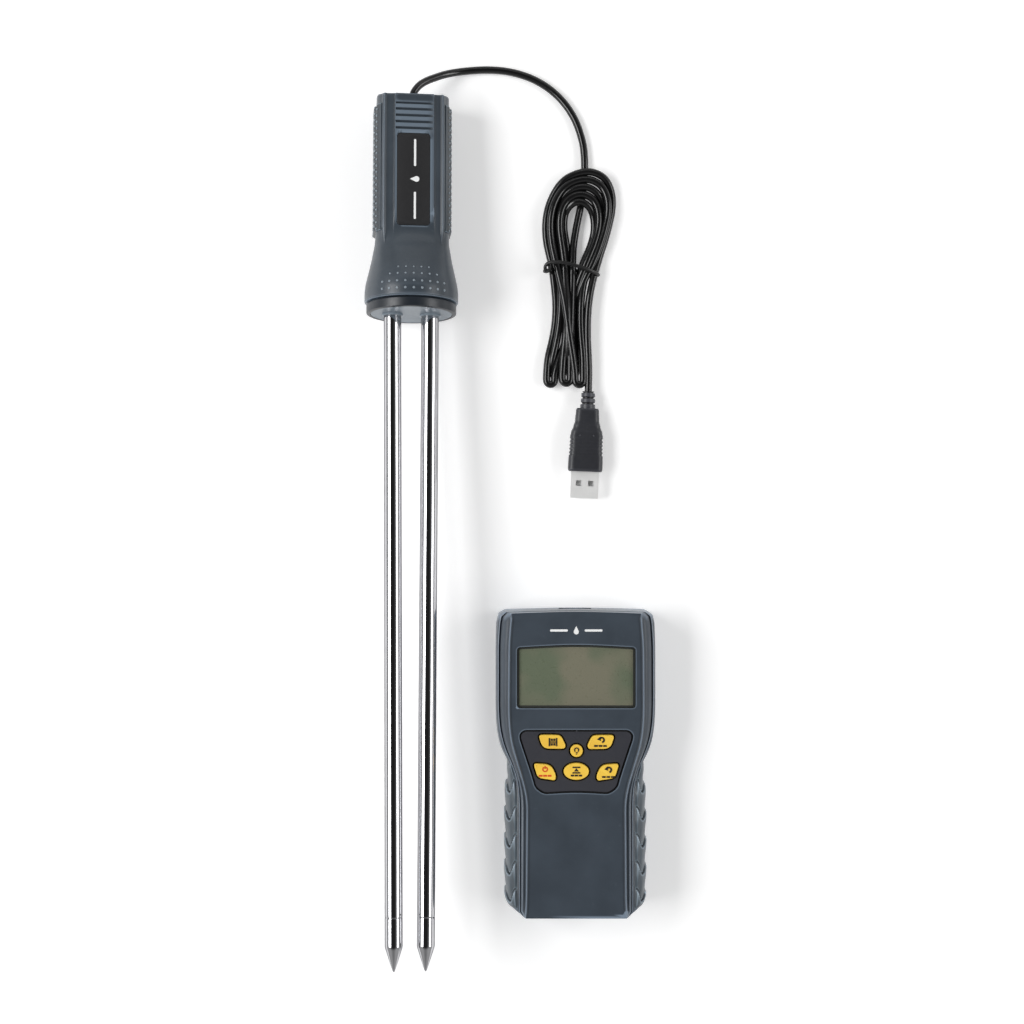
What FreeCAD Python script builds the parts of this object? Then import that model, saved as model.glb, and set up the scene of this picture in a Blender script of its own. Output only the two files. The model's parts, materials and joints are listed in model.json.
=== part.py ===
# Grain moisture meter with its measuring probe, laid out on a table: the hand-held meter on its back,
# the two-rod probe beside it resting on its bell and its handle's end, and between them the probe's
# cord, tied in a hank, with its plug.
# Millimetres. +Z is up, +Y runs along both housings (the rods point to -Y), and the origin is the
# middle of the table patch that the meter and the probe cover.
import FreeCAD, Part
import math
import os
import re
from types import SimpleNamespace

import Sketcher

Vector = FreeCAD.Vector
Rotation = FreeCAD.Rotation
Placement = FreeCAD.Placement
ACROSS = Vector(1, 0, 0)
ALONG = Vector(0, 1, 0)
UP = Vector(0, 0, 1)

# ---------------------------------------------------------------- driving dimensions
SIZES = {
    # where the two housings lie
    "meter_x": 27.6, "meter_y": -99.9, "probe_x": -41.5, "probe_y": 88.3,
    # meter case
    "case_long": 129.0, "case_deep": 28.0, "parting": 13.0, "head_half": 33.7, "grip_half": 29.5,
    "waist_half": 28.5, "tail_half": 21.2, "face_head_half": 27.4, "face_grip_half": 19.9,
    "wall": 2.0, "foot_inset": 4.0, "foot_tall": 6.0, "brow": 17.0,
    "grip_thick": 2.4, "grip_inner": 23.5, "grip_low": 3.5, "grip_top": 24.5, "rib_pitch": 11.5,
    # window and display
    "window_wide": 49.5, "window_tall": 26.2, "window_y": 36.6, "window_arch": 1.3, "lens_thick": 1.4,
    "glass_wide": 50.8, "glass_tall": 30.6, "glass_thick": 2.8,
    # keypad
    "panel_thick": 0.7, "panel_gap": 0.15, "key_gap": 0.2, "key_proud": 1.0, "key_travel": 0.8,
    "key_flange": 0.8, "key_stop": 0.05, "leaf_wide": 11.0, "leaf_tall": 5.8, "leaf_lean": 1.3,
    "low_leaf_wide": 9.7, "low_leaf_tall": 7.4, "low_leaf_lean": 1.8, "low_leaf_slope": 1.0,
    "oval_wide": 10.5, "oval_tall": 7.0, "round_wide": 5.2,
    # board, cells and their bay
    "board_top": 17.2, "board_thick": 1.6, "cell_wide": 10.5, "cell_long": 44.5, "cell_pitch": 11.2,
    "bay_half": 23.2, "bay_low": -57.6, "bay_high": -6.2, "bay_roof": 13.4, "bay_wall": 0.9,
    "cover_half": 21.45, "cover_tongue": 1.15, "cover_low": 0.35, "cover_thick": 2.0, "slide_gap": 0.15,
    # case screws
    "screw_wide": 2.5, "screw_head": 4.6, "boss_wide": 5.8, "hole_wide": 2.6, "screw_long": 17.0,
    # socket and plug
    "socket_wide": 13.2, "socket_tall": 5.7, "socket_deep": 14.0, "tin": 0.35, "socket_z": 12.6,
    "plug_wide": 12.0, "plug_tall": 4.5, "plug_long": 11.8, "plug_x": 32.3, "plug_y": 23.1,
    "plug_lean": 2.4, "plug_z": 4.1, "mould_wide": 14.8, "mould_neck": 9.9, "mould_tall": 8.0,
    "mould_long": 26.9, "relief_wide": 5.6, "relief_long": 7.3,
    # probe handle
    "handle_long": 92.5, "handle_half": 15.4, "handle_thick": 25.2, "end_half": 14.6,
    "bell_wide": 39.6, "bell_low": 4.6, "bell_high": 9.7, "shell": 2.0, "handle_corner": 8.0,
    "roll": 6.5, "disc_wide": 36.0, "disc_thick": 1.4, "collar_wide": 37.8,
    "label_wide": 13.5, "label_long": 38.8, "label_y": 54.8, "label_thick": 0.5,
    "side_grip_long": 54.0, "side_grip_tall": 14.0, "side_grip_y": 33.4, "tooth_pitch": 2.7,
    # rods
    "rod_wide": 7.3, "rod_wall": 0.6, "rod_space": 15.8, "rod_long": 271.0, "tip_long": 22.0,
    "cone_long": 9.9, "left_lean": 0.45, "right_lean": 0.15, "rod_inside": 20.0, "stud_wide": 4.0,
    "bush_wide": 9.6, "block_wide": 27.6, "bush_proud": 1.2, "neck_wide": 6.9,
    # cord
    "cord_wide": 3.2, "hank_low": 1.1, "hank_top": 9.1, "tie_broad": 1.8,
}
S = SimpleNamespace(**SIZES)

doc = FreeCAD.newDocument("grain_moisture_meter")
sheet = doc.addObject("Spreadsheet::Sheet", "Sizes")
for row, (alias, value) in enumerate(SIZES.items(), 1):
    sheet.set(f"A{row}", alias)
    sheet.set(f"B{row}", str(value))
    sheet.setAlias(f"B{row}", alias)
doc.recompute()

sub_parts = []


# ---------------------------------------------------------------- ways of making things
def formula(text):
    """The sheet expression for a formula that names driving dimensions, or for a plain number."""
    return re.sub(r"[a-z]\w*", lambda word: f"Sizes.{word.group(0)}", str(text))


def bind(item, **formulas):
    for target, text in formulas.items():
        item.setExpression(target.replace("__", "."), formula(text))
    return item


def shift(item, at):
    """Move an item to a local place whose three numbers may be formulas."""
    return bind(item, Placement__Base__x=at[0], Placement__Base__y=at[1], Placement__Base__z=at[2])


def box(name, sizes, at, centred=True):
    """A box; its place is the middle of its foot, or its low corner when it isn't centred."""
    item = doc.addObject("Part::Box", name)
    bind(item, Length=sizes[0], Width=sizes[1], Height=sizes[2])
    if centred:
        at = (f"{at[0]} - ({sizes[0]}) / 2", f"{at[1]} - ({sizes[1]}) / 2", at[2])
    return shift(item, at)


def turn(item, direction):
    item.Placement.Rotation = Rotation(UP, direction)
    return item


def round_bar(name, wide, long, at, direction=UP):
    item = doc.addObject("Part::Cylinder", name)
    bind(item, Radius=f"({wide}) / 2", Height=long)
    return shift(turn(item, direction), at)


def taper(name, wide, end_wide, long, at, direction=UP):
    item = doc.addObject("Part::Cone", name)
    bind(item, Radius1=f"({wide}) / 2", Radius2=f"({end_wide}) / 2", Height=long)
    return shift(turn(item, direction), at)


def join(name, items):
    if len(items) == 1:
        return items[0]
    item = doc.addObject("Part::MultiFuse", name)
    item.Shapes = items
    return item


def cut(name, base, tools):
    item = doc.addObject("Part::Cut", name)
    item.Base = base
    item.Tool = join(f"{name}_tools", tools)
    return item


def common(name, items):
    item = doc.addObject("Part::MultiCommon", name)
    item.Shapes = items
    return item


def origin_plane(body, role):
    return next(item for item in body.Origin.OriginFeatures if item.Role == role)


def outline(body, name, points, height, role="XY_Plane"):
    """A closed sketch of straight sides, each corner held by two distances bound to the sheet."""
    sketch = body.newObject("Sketcher::SketchObject", name)
    sketch.AttachmentSupport = [(origin_plane(body, role), "")]
    sketch.MapMode = "FlatFace"
    bind(sketch, AttachmentOffset__Base__z=height)
    count = len(points)
    ring = [Vector(10 * math.cos(2 * math.pi * i / count), 10 * math.sin(2 * math.pi * i / count), 0)
            for i in range(count)]
    sketch.addGeometry([Part.LineSegment(ring[i], ring[(i + 1) % count]) for i in range(count)], False)
    sketch.addConstraint([Sketcher.Constraint("Coincident", i, 2, (i + 1) % count, 1)
                          for i in range(count)])
    for corner, place in enumerate(points):
        for kind, text in zip(("DistanceX", "DistanceY"), place):
            held = sketch.addConstraint(Sketcher.Constraint(kind, -1, 1, corner, 1, 1.0))
            sketch.setExpression(f"Constraints[{held}]", formula(text))
    return sketch


def edges_along(shape, direction):
    """Names of the straight edges that run one way."""
    return [f"Edge{n}" for n, edge in enumerate(shape.Edges, 1)
            if abs(edge.tangentAt(edge.FirstParameter).dot(direction)) > 0.999]


def prism(name, points, low, tall, corner=None):
    """A body padded up from an outline, with its upright edges rounded."""
    body = doc.addObject("PartDesign::Body", name)
    sketch = outline(body, f"{name}_outline", points, low)
    pad = body.newObject("PartDesign::Pad", f"{name}_pad")
    pad.Profile = sketch
    bind(pad, Length=tall)
    doc.recompute()
    if corner:
        rounding = body.newObject("PartDesign::Fillet", f"{name}_corners")
        rounding.Base = (pad, edges_along(pad.Shape, UP))
        bind(rounding, Radius=corner)
    return body


def block(wide, tall, x=0, y=0):
    """Corners of a rectangle, from formulas."""
    return ((f"{x} - ({wide}) / 2", f"{y} - ({tall}) / 2"), (f"{x} + ({wide}) / 2", f"{y} - ({tall}) / 2"),
            (f"{x} + ({wide}) / 2", f"{y} + ({tall}) / 2"), (f"{x} - ({wide}) / 2", f"{y} + ({tall}) / 2"))


def loft(name, rings, role="XY_Plane"):
    """A body ruled through outlines, given as (height, points)."""
    body = doc.addObject("PartDesign::Body", name)
    sketches = [outline(body, f"{name}_ring{n}", points, height, role)
                for n, (height, points) in enumerate(rings)]
    skin = body.newObject("PartDesign::AdditiveLoft", f"{name}_loft")
    skin.Profile = sketches[0]
    skin.Sections = sketches[1:]
    skin.Ruled = True
    return body


def piece(label, items, pose):
    """Name a sub-part and put it in its place; a list makes one node of separate solids."""
    if isinstance(items, (list, tuple)):
        group = doc.addObject("Part::Compound", label)
        group.Links = items
        items = group
    items.Label = label
    items.Placement = pose
    sub_parts.append(items)
    return items


def solid(label, shape, pose=Placement()):
    """A sub-part whose shape is worked out here, because no feature makes it."""
    item = doc.addObject("Part::Feature", label)
    item.Shape = shape
    return piece(label, item, pose)


def pipe(points, wide):
    """A round tube along straight runs joined by arcs, each arc as large as its runs allow."""
    edges = []
    start = points[0]
    for before, here, after in zip(points, points[1:], points[2:]):
        come = (here - before)
        go = (after - here)
        reach = 0.45 * min(come.Length, go.Length)
        bend = come.getAngle(go)
        come.normalize()
        go.normalize()
        radius = reach / math.tan(bend / 2)
        enter = here - come * reach
        leave = here + go * reach
        inward = (go - come).normalize()
        middle = here + inward * (radius / math.cos(bend / 2) - radius)
        edges.append(Part.LineSegment(start, enter).toShape())
        edges.append(Part.Arc(enter, middle, leave).toShape())
        start = leave
        print(f"  bend {math.degrees(bend):5.1f} deg, radius {radius:6.1f} mm")
    edges.append(Part.LineSegment(start, points[-1]).toShape())
    path = Part.Wire(edges)
    ring = Part.Wire([Part.Circle(points[0], points[1] - points[0], wide / 2).toShape()])
    tube = path.makePipeShell([ring], True, False)
    print(f"  length {path.Length:.1f} mm, volume ratio "
          f"{tube.Volume / (math.pi * wide ** 2 / 4 * path.Length):.4f}")
    return tube


METER = Placement(Vector(S.meter_x, S.meter_y, 0), Rotation())

# ---------------------------------------------------------------- meter case
# right side of the case, from the tail up: outline x and y, flat face x and y, and how the corner
# moves when the outline shrinks (across, along) and whether the soft grip covers it
HALF = "case_long / 2"
CASE_SIDE = (
    ("tail_half", f"-{HALF}", "face_grip_half - 2", f"1 - {HALF}", 1, -1, False),
    ("grip_half - 1.1", f"4.5 - {HALF}", "face_grip_half", f"3 - {HALF}", 1, -0.4, True),
    ("grip_half", "-56", "face_grip_half", "-55", 1, 0, True),
    ("grip_half", "-13", "face_grip_half", "-14", 1, 0, True),
    ("waist_half", "-7", "face_grip_half + 1.4", "-6", 1, 0, True),
    ("waist_half + 0.1", "-1", "face_grip_half + 3.4", "0", 1, 0, True),
    ("waist_half + 3.1", "6", "face_head_half - 1.6", "8", 1, 0, False),
    ("head_half - 0.5", "13", "face_head_half - 0.2", "15", 1, 0, False),
    ("head_half", "22", "face_head_half", "22", 1, 0, False),
    ("head_half", "50", "face_head_half", "50", 1, 0, False),
    ("head_half - 0.7", "59.5", "face_head_half - 0.8", "59.5", 1, 0.3, False),
    ("head_half - 2.3", "62.3", "face_head_half - 1.8", "61.5", 1, 0.8, False),
    ("head_half - 6.7", "63.6", "face_head_half - 5.4", "62.6", 1, 1, False),
    ("0", HALF, "0", f"{HALF} - 1", 0, 1, False),
)


def case_ring(level, inset, grip_inset=0.0):
    """Corners round the case, from its widest outline (level 0) to its flat face (level 1)."""
    right = []
    for wide_x, wide_y, face_x, face_y, across, along, gripped in CASE_SIDE:
        extra = grip_inset if gripped else 0.0
        x = f"({wide_x}) * {1 - level} + ({face_x}) * {level} - ({inset} + {extra}) * {across}"
        y = f"({wide_y}) * {1 - level} + ({face_y}) * {level} - ({inset}) * {along}"
        right.append((x, y))
    left = [(f"-({x})", y) for x, y in right[:-1]]
    return right + left[::-1]


case_form = loft("case_form", (
    (0, case_ring(0, S.foot_inset)),
    ("foot_tall", case_ring(0, 0)),
    ("brow", case_ring(0, 0)),
    ("case_deep", case_ring(1, 0)),
))
case_hollow = loft("case_hollow", (
    ("wall", case_ring(0, S.foot_inset + S.wall, S.grip_thick)),
    ("foot_tall", case_ring(0, S.wall, S.grip_thick)),
    ("brow", case_ring(0, S.wall, S.grip_thick)),
    ("case_deep - wall", case_ring(1, 1.5)),
))
case_core = loft("case_core", (
    (0, case_ring(0, S.foot_inset + S.grip_thick)),
    ("foot_tall", case_ring(0, S.grip_thick)),
    ("brow", case_ring(0, S.grip_thick)),
    ("case_deep", case_ring(1, S.grip_thick)),
))
grip_zone = {}
for side, sign in (("left", -1), ("right", 1)):
    zone = box(f"grip_zone_{side}", (20, "62.5", "grip_top - grip_low"),
               (f"{sign} * (grip_inner + 10)", "-30.25", "grip_low"))
    grip_zone[side] = cut(f"grip_space_{side}", zone, [case_core])
    # scale ribs: every rib stands a little proud of the one below it
    steps = [box(f"rib_{side}_{n}", (4, 1.2, "grip_top"),
                 (f"{sign} * (grip_half + 1.6)", f"-50.5 + {n} * rib_pitch", 0)) for n in range(5)]
    rubber = common(f"grip_rubber_{side}", [case_form, grip_zone[side]])
    piece(f"side_grip_{side}", cut(f"grip_{side}", rubber, steps), METER)

# case screws, driven from the back into bosses of the front shell
SCREW_PLACES = [(x, y) for y in (58.0, 0.5) for x in (-23.5, 23.5)]


def screw_tools(name, wide, low, tall):
    return [round_bar(f"{name}_{n}", wide, tall, (x, y, low)) for n, (x, y) in enumerate(SCREW_PLACES)]


# window and keypad openings of the front shell
WINDOW = (
    ("-window_wide / 2", "window_y - window_tall / 2"), ("window_wide / 2", "window_y - window_tall / 2"),
    ("window_wide / 2", "window_y + window_tall / 2 - 0.4"),
    ("window_wide / 5", "window_y + window_tall / 2 + window_arch * 0.5"),
    ("-window_wide / 5", "window_y + window_tall / 2 + window_arch * 0.5"),
    ("-window_wide / 2", "window_y + window_tall / 2 - 0.4"),
)
PANEL_SIDE = ((13.6, -12.2), (17.3, -9.6), (18.4, -5.2), (24.2, 12.3), (22.0, 14.7))


def panel_ring(grow):
    right = [(x + grow, y + math.copysign(grow, y)) for x, y in PANEL_SIDE]
    left = [(-x, y) for x, y in right]
    return [(0, -11.4 - grow)] + right + left[::-1]


def leaf(wide, tall, lean, slope, mirror, at, grow):
    """A key's four corners: a parallelogram whose sides lean and whose ends may slope."""
    corners = ((f"-{wide} / 2 - {grow}", f"{tall} / 2 + {grow}"),
               (f"{wide} / 2 - {lean} + {grow}", f"{tall} / 2 - {slope} + {grow}"),
               (f"{wide} / 2 + {grow}", f"-{tall} / 2 - {grow}"),
               (f"-{wide} / 2 + {lean} - {grow}", f"-{tall} / 2 + {slope} - {grow}"))
    return [(f"{at[0]} + {mirror} * ({x})", f"{at[1]} + {y}") for x, y in corners]


TOP_LEAF = ("leaf_wide", "leaf_tall", "leaf_lean", "0")
LOW_LEAF = ("low_leaf_wide", "low_leaf_tall", "low_leaf_lean", "low_leaf_slope")
KEYS = {
    "key_mode": (TOP_LEAF, 1, (-10.0, 9.7)),
    "key_next": (TOP_LEAF, -1, (10.2, 9.6)),
    "key_lamp": ("round", 1, (0.1, 6.0)),
    "key_power": (LOW_LEAF, 1, (-13.0, -2.6)),
    "key_hold": ("oval", 1, (0.0, -2.6)),
    "key_back": (LOW_LEAF, -1, (13.0, -2.7)),
}


def key_prism(name, key, grow, low, tall):
    """A key's outline, grown by a gap, as a prism."""
    shape, mirror, at = KEYS[key]
    if shape == "round":
        return round_bar(name, f"round_wide + 2 * {grow}", tall, (at[0], at[1], low))
    if shape == "oval":
        face = doc.addObject("Part::Ellipse", f"{name}_oval")
        bind(face, MajorRadius=f"oval_wide / 2 + {grow}", MinorRadius=f"oval_tall / 2 + {grow}")
        shift(face, (at[0], at[1], low))
        rise = doc.addObject("Part::Extrusion", name)
        rise.Base = face
        rise.Dir = UP
        rise.Solid = True
        return bind(rise, LengthFwd=tall)
    return prism(name, leaf(*shape, mirror, at, grow), low, tall, f"1.5 + {grow}")


KEY_FOOT = "case_deep - wall - key_stop - key_flange"
for key in KEYS:
    cap = key_prism(f"{key}_cap", key, 0, KEY_FOOT, "wall + key_stop + key_flange + key_proud")
    flange = key_prism(f"{key}_flange", key, S.key_flange, KEY_FOOT, "key_flange")
    piece(key, join(f"{key}_form", [cap, flange]), METER)

key_holes = [key_prism(f"{key}_hole", key, S.key_gap, "case_deep - 4", 8) for key in KEYS]
panel_space = prism("panel_space", panel_ring(S.panel_gap), "case_deep - panel_thick - 0.1", 4, 1.2)
panel_form = prism("panel_form", panel_ring(0), "case_deep - panel_thick - 0.05", "panel_thick", 1.1)
piece("key_panel", cut("panel_cut", panel_form, key_holes), METER)

window_space = prism("window_space", WINDOW, "case_deep - 5", 8, 1.6)
socket_space = box("socket_space", ("socket_wide + 0.6", 12, "socket_tall + 0.6"),
                   (0, "case_long / 2", "socket_z - socket_tall / 2 - 0.3"))
front_half = box("front_half", (90, 150, 30), (0, 0, "parting"))
front_bosses = common("front_bosses", [case_core, join("front_boss_bars", screw_tools(
    "front_boss", "boss_wide", "parting + 0.1", "case_deep - parting - 1"))])
front_skin = cut("front_skin", common("front_body", [case_form, front_half]),
                 [case_hollow, *grip_zone.values(), window_space, panel_space, socket_space, *key_holes])
front_shell = cut("front_shell_cut", join("front_shell_join", [front_skin, front_bosses]),
                  screw_tools("pilot", "hole_wide", 0, "parting + 10"))
piece("front_shell", front_shell, METER)

# rear shell with the cell bay and the slide of its cover
rear_half = box("rear_half", (90, 150, "parting - 0.02"), (0, 0, 0))
bay_outer = box("bay_outer", ("2 * (bay_half + bay_wall)", "bay_high - bay_low + 2 * bay_wall",
                              "bay_roof + bay_wall - 2.5"),
                (0, "(bay_low + bay_high) / 2", 2.5))
bay_inner = box("bay_inner", ("2 * bay_half", "bay_high - bay_low", "bay_roof + 3"),
                (0, "(bay_low + bay_high) / 2", -3))
slot_mouth = box("slot_mouth", ("2 * (cover_half + slide_gap)", 80, 4), (0, "bay_high - 40", -2.7))
slot_rails = box("slot_rails", ("2 * (cover_half + cover_tongue + slide_gap)", 80, 1.35),
                 (0, "bay_high - 40", 1.25))
rear_skin = cut("rear_skin", common("rear_body", [case_form, rear_half]),
                [case_hollow, *grip_zone.values(), socket_space])
rear_bosses = common("rear_bosses", [case_core, join("rear_boss_bars", screw_tools(
    "rear_boss", "boss_wide + 1.6", 1.0, "parting - 1.02"))])
bay_form = common("bay_form", [case_form, bay_outer])
rear_shell = cut("rear_shell_cut", join("rear_shell_join", [rear_skin, rear_bosses, bay_form]),
                 [bay_inner, slot_mouth, slot_rails, *screw_tools("clear_hole", "hole_wide + 0.4", -1, 20),
                  *screw_tools("counterbore", "screw_head + 0.6", -1, 4.0)])
piece("rear_shell", rear_shell, METER)

cover_plate = box("cover_plate", ("2 * cover_half", 60, 1.2), (0, "bay_high - 0.3 - 30", "cover_low"))
cover_tongue = box("cover_tongues", ("2 * (cover_half + cover_tongue)", 60, 1.0),
                   (0, "bay_high - 0.3 - 30", "cover_low + cover_thick - 1"))
thumb_ribs = [box(f"thumb_rib_{n}", (16, 0.9, 0.5), (0, f"-14 - {n} * 2.2", "cover_low - 0.2"))
              for n in range(5)]
cover_form = common("cover_form", [case_form, join("cover_join", [cover_plate, cover_tongue])])
piece("battery_cover", cut("cover_cut", cover_form, thumb_ribs), METER)

piece("case_screws", [join(f"case_screw_{n}", [
    round_bar(f"screw_head_{n}", "screw_head", 1.8, (x, y, 1.1)),
    round_bar(f"screw_shank_{n}", "screw_wide", "screw_long", (x, y, 2.8)),
]) for n, (x, y) in enumerate(SCREW_PLACES)], METER)

# ---------------------------------------------------------------- inside the meter
lens = prism("lens_form", [(f"({x}) * 0.994", f"window_y + (({y}) - window_y) * 0.99") for x, y in WINDOW],
             "case_deep - 0.3 - lens_thick", "lens_thick", 1.4)
piece("display_lens", lens, METER)

GLASS_LOW = "board_top + 3.8"
piece("display_glass", [box("glass", ("glass_wide", "glass_tall", "glass_thick"),
                            (0, "window_y", GLASS_LOW))], METER)
frame_wall = box("frame_wall", ("glass_wide + 2", "glass_tall + 2", "24.4 - board_top"),
                 (0, "window_y", "board_top + 0.05"))
frame_space = box("frame_space", ("glass_wide + 0.2", "glass_tall + 0.2", 12),
                  (0, "window_y", "board_top - 1"))
frame_lip = box("frame_lip", ("glass_wide - 0.2", "glass_tall + 2", 1.35), (0, "window_y", 24.45))
frame_eye = box("frame_eye", ("window_wide - 1.2", "window_tall - 0.6", 8), (0, "window_y", 22))
frame_ring = cut("frame_ring", frame_wall, [frame_space])
frame_rim = cut("frame_rim", frame_lip, [frame_eye])
piece("display_frame", join("frame_join", [frame_ring, frame_rim]), METER)
piece("backlight_panel", [box("backlight", (47.6, 26.4, 2.6), (0, "window_y + 1.4", "board_top + 0.9"))],
      METER)
piece("contact_strip", [box("zebra", (46, 1.8, 3.65), (0, "window_y - 13.7", "board_top + 0.1"))], METER)

BOARD = ((22.0, -56.0), (22.0, -2.0), (28.2, 12.0), (28.2, 60.0))
board_ring = [(x, y) for x, y in BOARD] + [(-x, y) for x, y in reversed(BOARD)]
board_form = prism("board_form", board_ring, "board_top - board_thick", "board_thick", 1.0)
piece("main_board", cut("board_cut", board_form, screw_tools("board_hole", "boss_wide + 2.2", 5, 20)),
      METER)
piece("controller_chip", [box("chip_body", (12, 12, 1.5), (0, -20, "board_top + 0.05"))], METER)
CAPACITORS = ((-14, 16, 5.0, 7.0), (14, 22, 5.0, 7.0), (-18, 30, 6.3, 7.0))
piece("board_capacitors", [round_bar(f"capacitor_{n}", wide, tall, (x, y, "board_top - board_thick - 7.05"))
                           for n, (x, y, wide, tall) in enumerate(CAPACITORS)], METER)
piece("signal_chips", [box(f"signal_chip_{n}", (5, 6.2, 1.6), (x, -38, "board_top + 0.05"))
                       for n, x in enumerate((-12, 0, 12))], METER)

# silicone mat: a thin sheet on the board with a plunger under each key
mat_sheet = prism("mat_sheet", block(40, 27, 0, 1.5), "board_top + 0.05", 1.2, 1.5)
plungers = [round_bar(f"plunger_{n}", 4.4, f"{KEY_FOOT} - key_travel - board_top - 0.15",
                      (KEYS[key][2][0], KEYS[key][2][1], "board_top + 0.1"))
            for n, key in enumerate(KEYS)]
piece("key_mat", join("key_mat_join", [mat_sheet, *plungers]), METER)

# four dry cells side by side, with a spring at one end and a plate at the other
CELL_X = [f"({n} - 1.5) * cell_pitch" for n in range(4)]
CELL_MID = "(bay_low + bay_high) / 2"
CELL_Z = "cover_low + cover_thick + 0.3 + cell_wide / 2"


def dry_cell(number, x):
    way = 1 if number % 2 else -1
    can = round_bar(f"cell_can_{number}", "cell_wide", "cell_long - 1",
                    (x, f"{CELL_MID} - {way} * cell_long / 2", CELL_Z), ALONG * way)
    nub = round_bar(f"cell_nub_{number}", 3.8, 1.2,
                    (x, f"{CELL_MID} + {way} * (cell_long / 2 - 1.2)", CELL_Z), ALONG * way)
    return join(f"cell_{number}", [can, nub])


piece("dry_cells", [dry_cell(n, x) for n, x in enumerate(CELL_X)], METER)
plates = []
for number, x in enumerate(CELL_X):
    for way in (-1, 1):
        plates.append(box(f"contact_plate_{number}_{way}", (9, 0.4, 9),
                          (x, f"{CELL_MID} + {way} * ((bay_high - bay_low) / 2 - 0.3)", 3.4)))
piece("contact_plates", plates, METER)


def contact_spring(number):
    """A short coil spring between a contact plate and the flat end of its cell."""
    way = 1 if number % 2 else -1
    x = (number - 1.5) * S.cell_pitch
    middle = (S.bay_low + S.bay_high) / 2
    z = S.cover_low + S.cover_thick + 0.3 + S.cell_wide / 2
    room = (S.bay_high - S.bay_low) / 2 - 0.55 - S.cell_long / 2
    helix = Part.makeHelix((room - 0.9) / 2.5, room - 0.9, 2.6)
    ring = Part.Wire([Part.Circle(Vector(2.6, 0, 0), ALONG, 0.3).toShape()])
    coil = Part.Wire(helix.Edges).makePipeShell([ring], True, True)
    start = middle - way * ((S.bay_high - S.bay_low) / 2 - 0.55) + way * 0.45
    coil.Placement = Placement(Vector(x, start, z), Rotation(UP, ALONG * way))
    return coil


solid("contact_springs", Part.makeCompound([contact_spring(n) for n in range(4)]), METER)

# socket for the probe's plug, under the board at the head
SOCKET_FOOT = "socket_z - socket_tall / 2"
SOCKET_MID = "case_long / 2 - 0.6 - socket_deep / 2"
socket_tin = cut("socket_tin", box("socket_outer", ("socket_wide", "socket_deep", "socket_tall"),
                                   (0, SOCKET_MID, SOCKET_FOOT)),
                 [box("socket_mouth", ("socket_wide - 2 * tin", "socket_deep + 2", "socket_tall - 2 * tin"),
                      (0, SOCKET_MID, f"{SOCKET_FOOT} + tin"))])
piece("usb_socket_shell", socket_tin, METER)
socket_back = box("socket_back", ("socket_wide - 2 * tin - 0.1", 3, "socket_tall - 2 * tin - 0.1"),
                  (0, "case_long / 2 - 0.6 - socket_deep + 1.5", f"{SOCKET_FOOT} + tin + 0.05"))
socket_tongue = box("socket_tongue", (11.1, "socket_deep - 2.5", 1.8),
                    (0, "case_long / 2 - 1.1 - socket_deep / 2 + 0.6", "socket_z + 0.25"))
piece("usb_socket_tongue", join("socket_core", [socket_back, socket_tongue]), METER)
piece("usb_socket_contacts", [box(f"socket_contact_{n}", (1.0, 8.0, 0.2), (f"{x}", "case_long / 2 - 6.6",
                                                                         "socket_z + 0.02"))
                              for n, x in enumerate((-3.5, -1.0, 1.0, 3.5))], METER)

# ---------------------------------------------------------------- probe
# The probe rests on its bell's rim and on the lower edge of its handle's end, rolled a little.
roll = math.radians(S.roll)
core_half = S.handle_half - S.handle_corner
support = (core_half * math.sin(roll) + (S.handle_thick / 2 - S.handle_corner) * math.cos(roll)
           + S.handle_corner)
tilt = math.asin((S.bell_wide / 2 - support) / (S.handle_long - 4 - S.bell_high))
probe_z = S.bell_wide / 2 * math.cos(tilt) + S.bell_high * math.sin(tilt) + 0.05
LIE = Rotation(ACROSS, -math.degrees(tilt)).multiply(Rotation(ALONG, S.roll))
PROBE = Placement(Vector(S.probe_x, S.probe_y, probe_z), LIE)

CORNER_STEPS = 4
# stations along the handle: y, half width, half thickness, corner radius
HANDLE = (
    ("bell_low", "bell_wide / 2", "bell_wide / 2", "bell_wide / 2 - 0.4"),
    ("bell_high", "bell_wide / 2", "bell_wide / 2", "bell_wide / 2 - 0.4"),
    ("12.3", "19.35", "19.2", "18.6"),
    ("17.3", "18.2", "17.7", "16.6"),
    ("22.4", "16.9", "15.7", "13.6"),
    ("28", "15.8", "13.6", "10.6"),
    ("34", "handle_half", "handle_thick / 2 + 0.2", "8.6"),
    ("87.5", "handle_half", "handle_thick / 2", "handle_corner"),
    ("handle_long", "end_half", "handle_thick / 2 - 1.4", "handle_corner"),
)


def rounded_ring(half_wide, half_tall, corner, inset):
    """Corners of a rectangle whose round corners are divided into short sides."""
    points = []
    for quarter, (sx, sy) in enumerate(((1, 1), (-1, 1), (-1, -1), (1, -1))):
        for step in range(CORNER_STEPS + 1):
            angle = math.radians(90 * (quarter + step / CORNER_STEPS))
            points.append((
                f"{sx} * ({half_wide} - ({corner})) + (({corner}) - {inset}) * {math.cos(angle):.6f}",
                f"{sy} * ({half_tall} - ({corner})) + (({corner}) - {inset}) * {math.sin(angle):.6f}"))
    return points


def handle_loft(name, inset, low=None, high=None):
    """The handle's form, or its hollow; XZ sketches face -Y, so their offset is negative."""
    rings = []
    for number, (y, half_wide, half_tall, corner) in enumerate(HANDLE):
        if number == 0 and low is not None:
            y = low
        if number == len(HANDLE) - 1 and high is not None:
            y = high
        rings.append((f"-({y})", rounded_ring(half_wide, half_tall, corner, inset)))
    return loft(name, rings, "XZ_Plane")


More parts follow.
